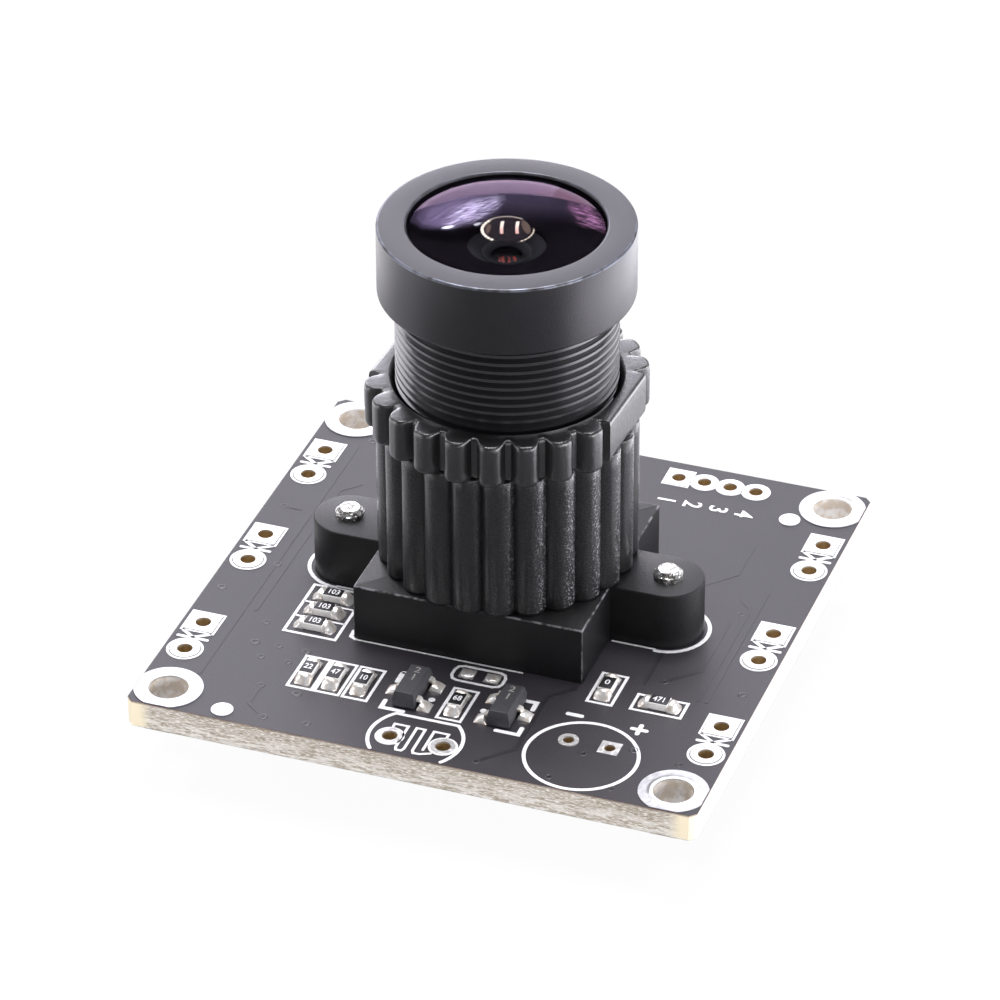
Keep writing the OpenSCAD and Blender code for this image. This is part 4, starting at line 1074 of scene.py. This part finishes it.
underside = {
    "camera_controller flash_memory regulator_bodies crystal_base": epoxy,
    "controller_leads flash_memory_leads regulator_leads usb_connector_tabs": legs,
    "solder_joints": solder,
    "chip_capacitor_ends inductor_terminals": legs,
    "lens_holder": plastic, "lock_ring": satin, "lens_barrel": anodised,
    "retaining_ring front_spacer middle_spacer rear_spacer aperture_stop": anodised}
for names, finish in underside.items():
    coat(finish, *names.split())
plain = {
    "crystal_can": ("drawn_steel_can", (0.76, 0.77, 0.78), 0.3, 1.0, 4.0, 0.02),
    "usb_connector_housing": ("natural_nylon", (0.86, 0.83, 0.75), 0.5, 0.0, 8.0, 0.01),
    "usb_connector_contacts": ("tinned_brass", (0.8, 0.68, 0.42), 0.3, 1.0, 6.0, 0.01),
    "inductor_core": ("grey_ferrite", (0.2, 0.2, 0.21), 0.6, 0.0, 6.0, 0.03),
    "chip_capacitor_bodies": ("brown_ceramic", (0.5, 0.36, 0.22), 0.45, 0.0, 5.0, 0.01),
    "sensor_package": ("dark_ceramic", (0.16, 0.15, 0.13), 0.55, 0.0, 7.0, 0.01),
    "sensor_die": ("polished_silicon", (0.14, 0.18, 0.26), 0.15, 0.0, 12.0, 0.003),
    "front_o_ring": ("black_rubber", (0.02, 0.02, 0.02), 0.7, 0.0, 9.0, 0.01)}
for node_name, (name, color, rough, metal, scale, depth) in plain.items():
    finish = Finish(name, color, rough, Metallic=metal)
    spread = finish.grain(scale, 3)
    pale = tuple(min(1.0, c * 1.2) for c in color)
    finish.feed(Base_Color=finish.mix(spread, tuple(c * 0.85 for c in color), pale),
                Roughness=rough - 0.08 + 0.16 * spread, Normal=finish.bump(spread, depth))
    coat(finish, node_name)
clear = Finish("clear_optical_glass", (0.85, 0.9, 0.92), 0.03, Transmission_Weight=1.0, IOR=1.52)
clear.feed(Roughness=0.02 + 0.03 * clear.grain(3))
coat(clear, "second_element", "doublet_flint", "doublet_crown", "fifth_element", "rear_element",
     "sensor_cover_glass", "ir_cut_filter")

# ---- Camera, light and surroundings ----
# A long lens from above the front edge, soft lamps on both sides, and a white
# floor and backdrop that keep the object's shadow.

target = Vector((-0.000446, 0.0, 0.006222))
bearing, height, roll, camera_away = 19.80, 33.12, -0.245, 0.31329
camera_data = bpy.data.cameras.new("camera")
camera_data.lens, camera_data.sensor_width = 208.06, 36.0
camera_data.clip_start, camera_data.clip_end = 0.01, 20
camera = add_object("camera", camera_data)
camera.matrix_world = (
    Matrix.Translation(target) @ Matrix.Rotation(radians(bearing), 4, "Z")
    @ Matrix.Rotation(radians(90 - height), 4, "X")
    @ Matrix.Rotation(radians(roll), 4, "Z") @ Matrix.Translation((0, 0, camera_away)))
bpy.context.scene.camera = camera

# Soft boxes that face the object; those at -90 degrees lie on the floor and face up.
# Each is its bearing, height, distance, width, length, power, red and green.
for name, azimuth, elevation, distance, width, length, power, red, green in (
        ("top_soft_box", 110, 80, 0.5, 0.3, 0.3, 3.75, 0.98, 0.965),
        ("back_soft_box", 108, 36, 0.6, 0.42, 0.3, 0.85, 0.91, 0.885),
        ("back_left_soft_box", 150, 30, 0.6, 0.3, 0.3, 1.0, 0.96, 0.945),
        ("back_right_soft_box", 75, 30, 0.6, 0.3, 0.3, 0.5, 0.96, 0.95),
        ("low_back_soft_box", 120, 10, 0.5, 0.3, 0.14, 0.9, 0.94, 0.915),
        ("low_left_soft_box", 210, 15, 0.5, 0.3, 0.2, 0.75, 0.98, 0.955),
        ("low_front_soft_box", 300, 10, 0.5, 0.3, 0.14, 0.31, 0.98, 0.96),
        ("low_right_soft_box", 340, 10, 0.5, 0.3, 0.14, 1.4, 0.97, 0.965),
        ("right_soft_box", 20, 10, 0.5, 0.3, 0.14, 1.5, 0.95, 0.95),
        ("right_reflector", 15, -90, 0.07, 0.06, 0.06, 0.029, 0.95, 0.94),
        ("back_right_reflector", 50, -90, 0.08, 0.07, 0.07, 0.059, 0.95, 0.945),
        ("back_left_reflector", 150, -90, 0.08, 0.07, 0.07, 0.026, 1.0, 0.985),
        ("left_reflector", 200, -90, 0.16, 0.2, 0.2, 0.155, 0.99, 0.985)):
    data = bpy.data.lights.new(name, "AREA")
    data.shape, data.size, data.size_y = "RECTANGLE", width, length
    data.energy, data.color = power, (red, green, 1.0)
    box = add_object(name, data)
    a, e = radians(azimuth), radians(elevation)
    if elevation == -90:
        box.location = (distance * cos(a), distance * sin(a), -0.0045)
        box.rotation_euler = (pi, 0, a)
    else:
        away = Vector((cos(a) * cos(e), sin(a) * cos(e), sin(e)))
        box.location = away * distance + Vector((0, 0, 0.01))
        box.rotation_euler = away.to_track_quat("Z", "Y").to_euler()

# Reflections see the floor dimmer in front of the object, and a little on the left
white = Finish("white_backdrop", (0.8, 0.8, 0.8), 0.9)
ray = {name: white.node("ShaderNodeLightPath", output=f"Is {name} Ray")
       for name in ("Camera", "Glossy", "Transmission")}
spot = hypotenuse(white.x, white.y)
frontward = (0.174 * white.x - 0.985 * white.y) / spot
leftward = (0.139 * white.y - 0.99 * white.x) / spot
dimmer = 0.78 * frontward.ramp(0.30, 0.50) + 0.25 * leftward.ramp(0.6, 0.8)
shine = white.paint((1, 1, 1), (ray["Glossy"], (0.955, 0.94, 1.0)), (dimmer * ray["Glossy"], (0, 0, 0)))
white.blend((ray["Camera"].most(ray["Transmission"]) * 0.96).most(ray["Glossy"]),
            white.surface, white.node("ShaderNodeEmission", shine))
floor_z, floor_half = cad_box[0][2] / MM, 1500
floor_outline = [(-floor_half, -floor_half), (floor_half, -floor_half),
                 (floor_half, floor_half), (-floor_half, floor_half)]
floor = build("floor", prism(floor_outline, floor_z - 1.0, floor_z - 0.01), white)

world = bpy.data.worlds.new("studio")
bpy.context.scene.world = world
world.use_nodes = True
room = Graph(world.node_tree)
room.tree.nodes.clear()
seen = room.node("ShaderNodeLightPath", output="Is Camera Ray").most(
    room.node("ShaderNodeLightPath", output="Is Transmission Ray"))
sky = room.node("ShaderNodeBackground", (1, 1, 1, 1), 0.09 + 0.91 * seen)
world_out = room.tree.nodes.new("ShaderNodeOutputWorld")
room.tree.links.new(sky.socket, world_out.inputs[0])

bpy.context.scene.view_settings.view_transform = "Standard"
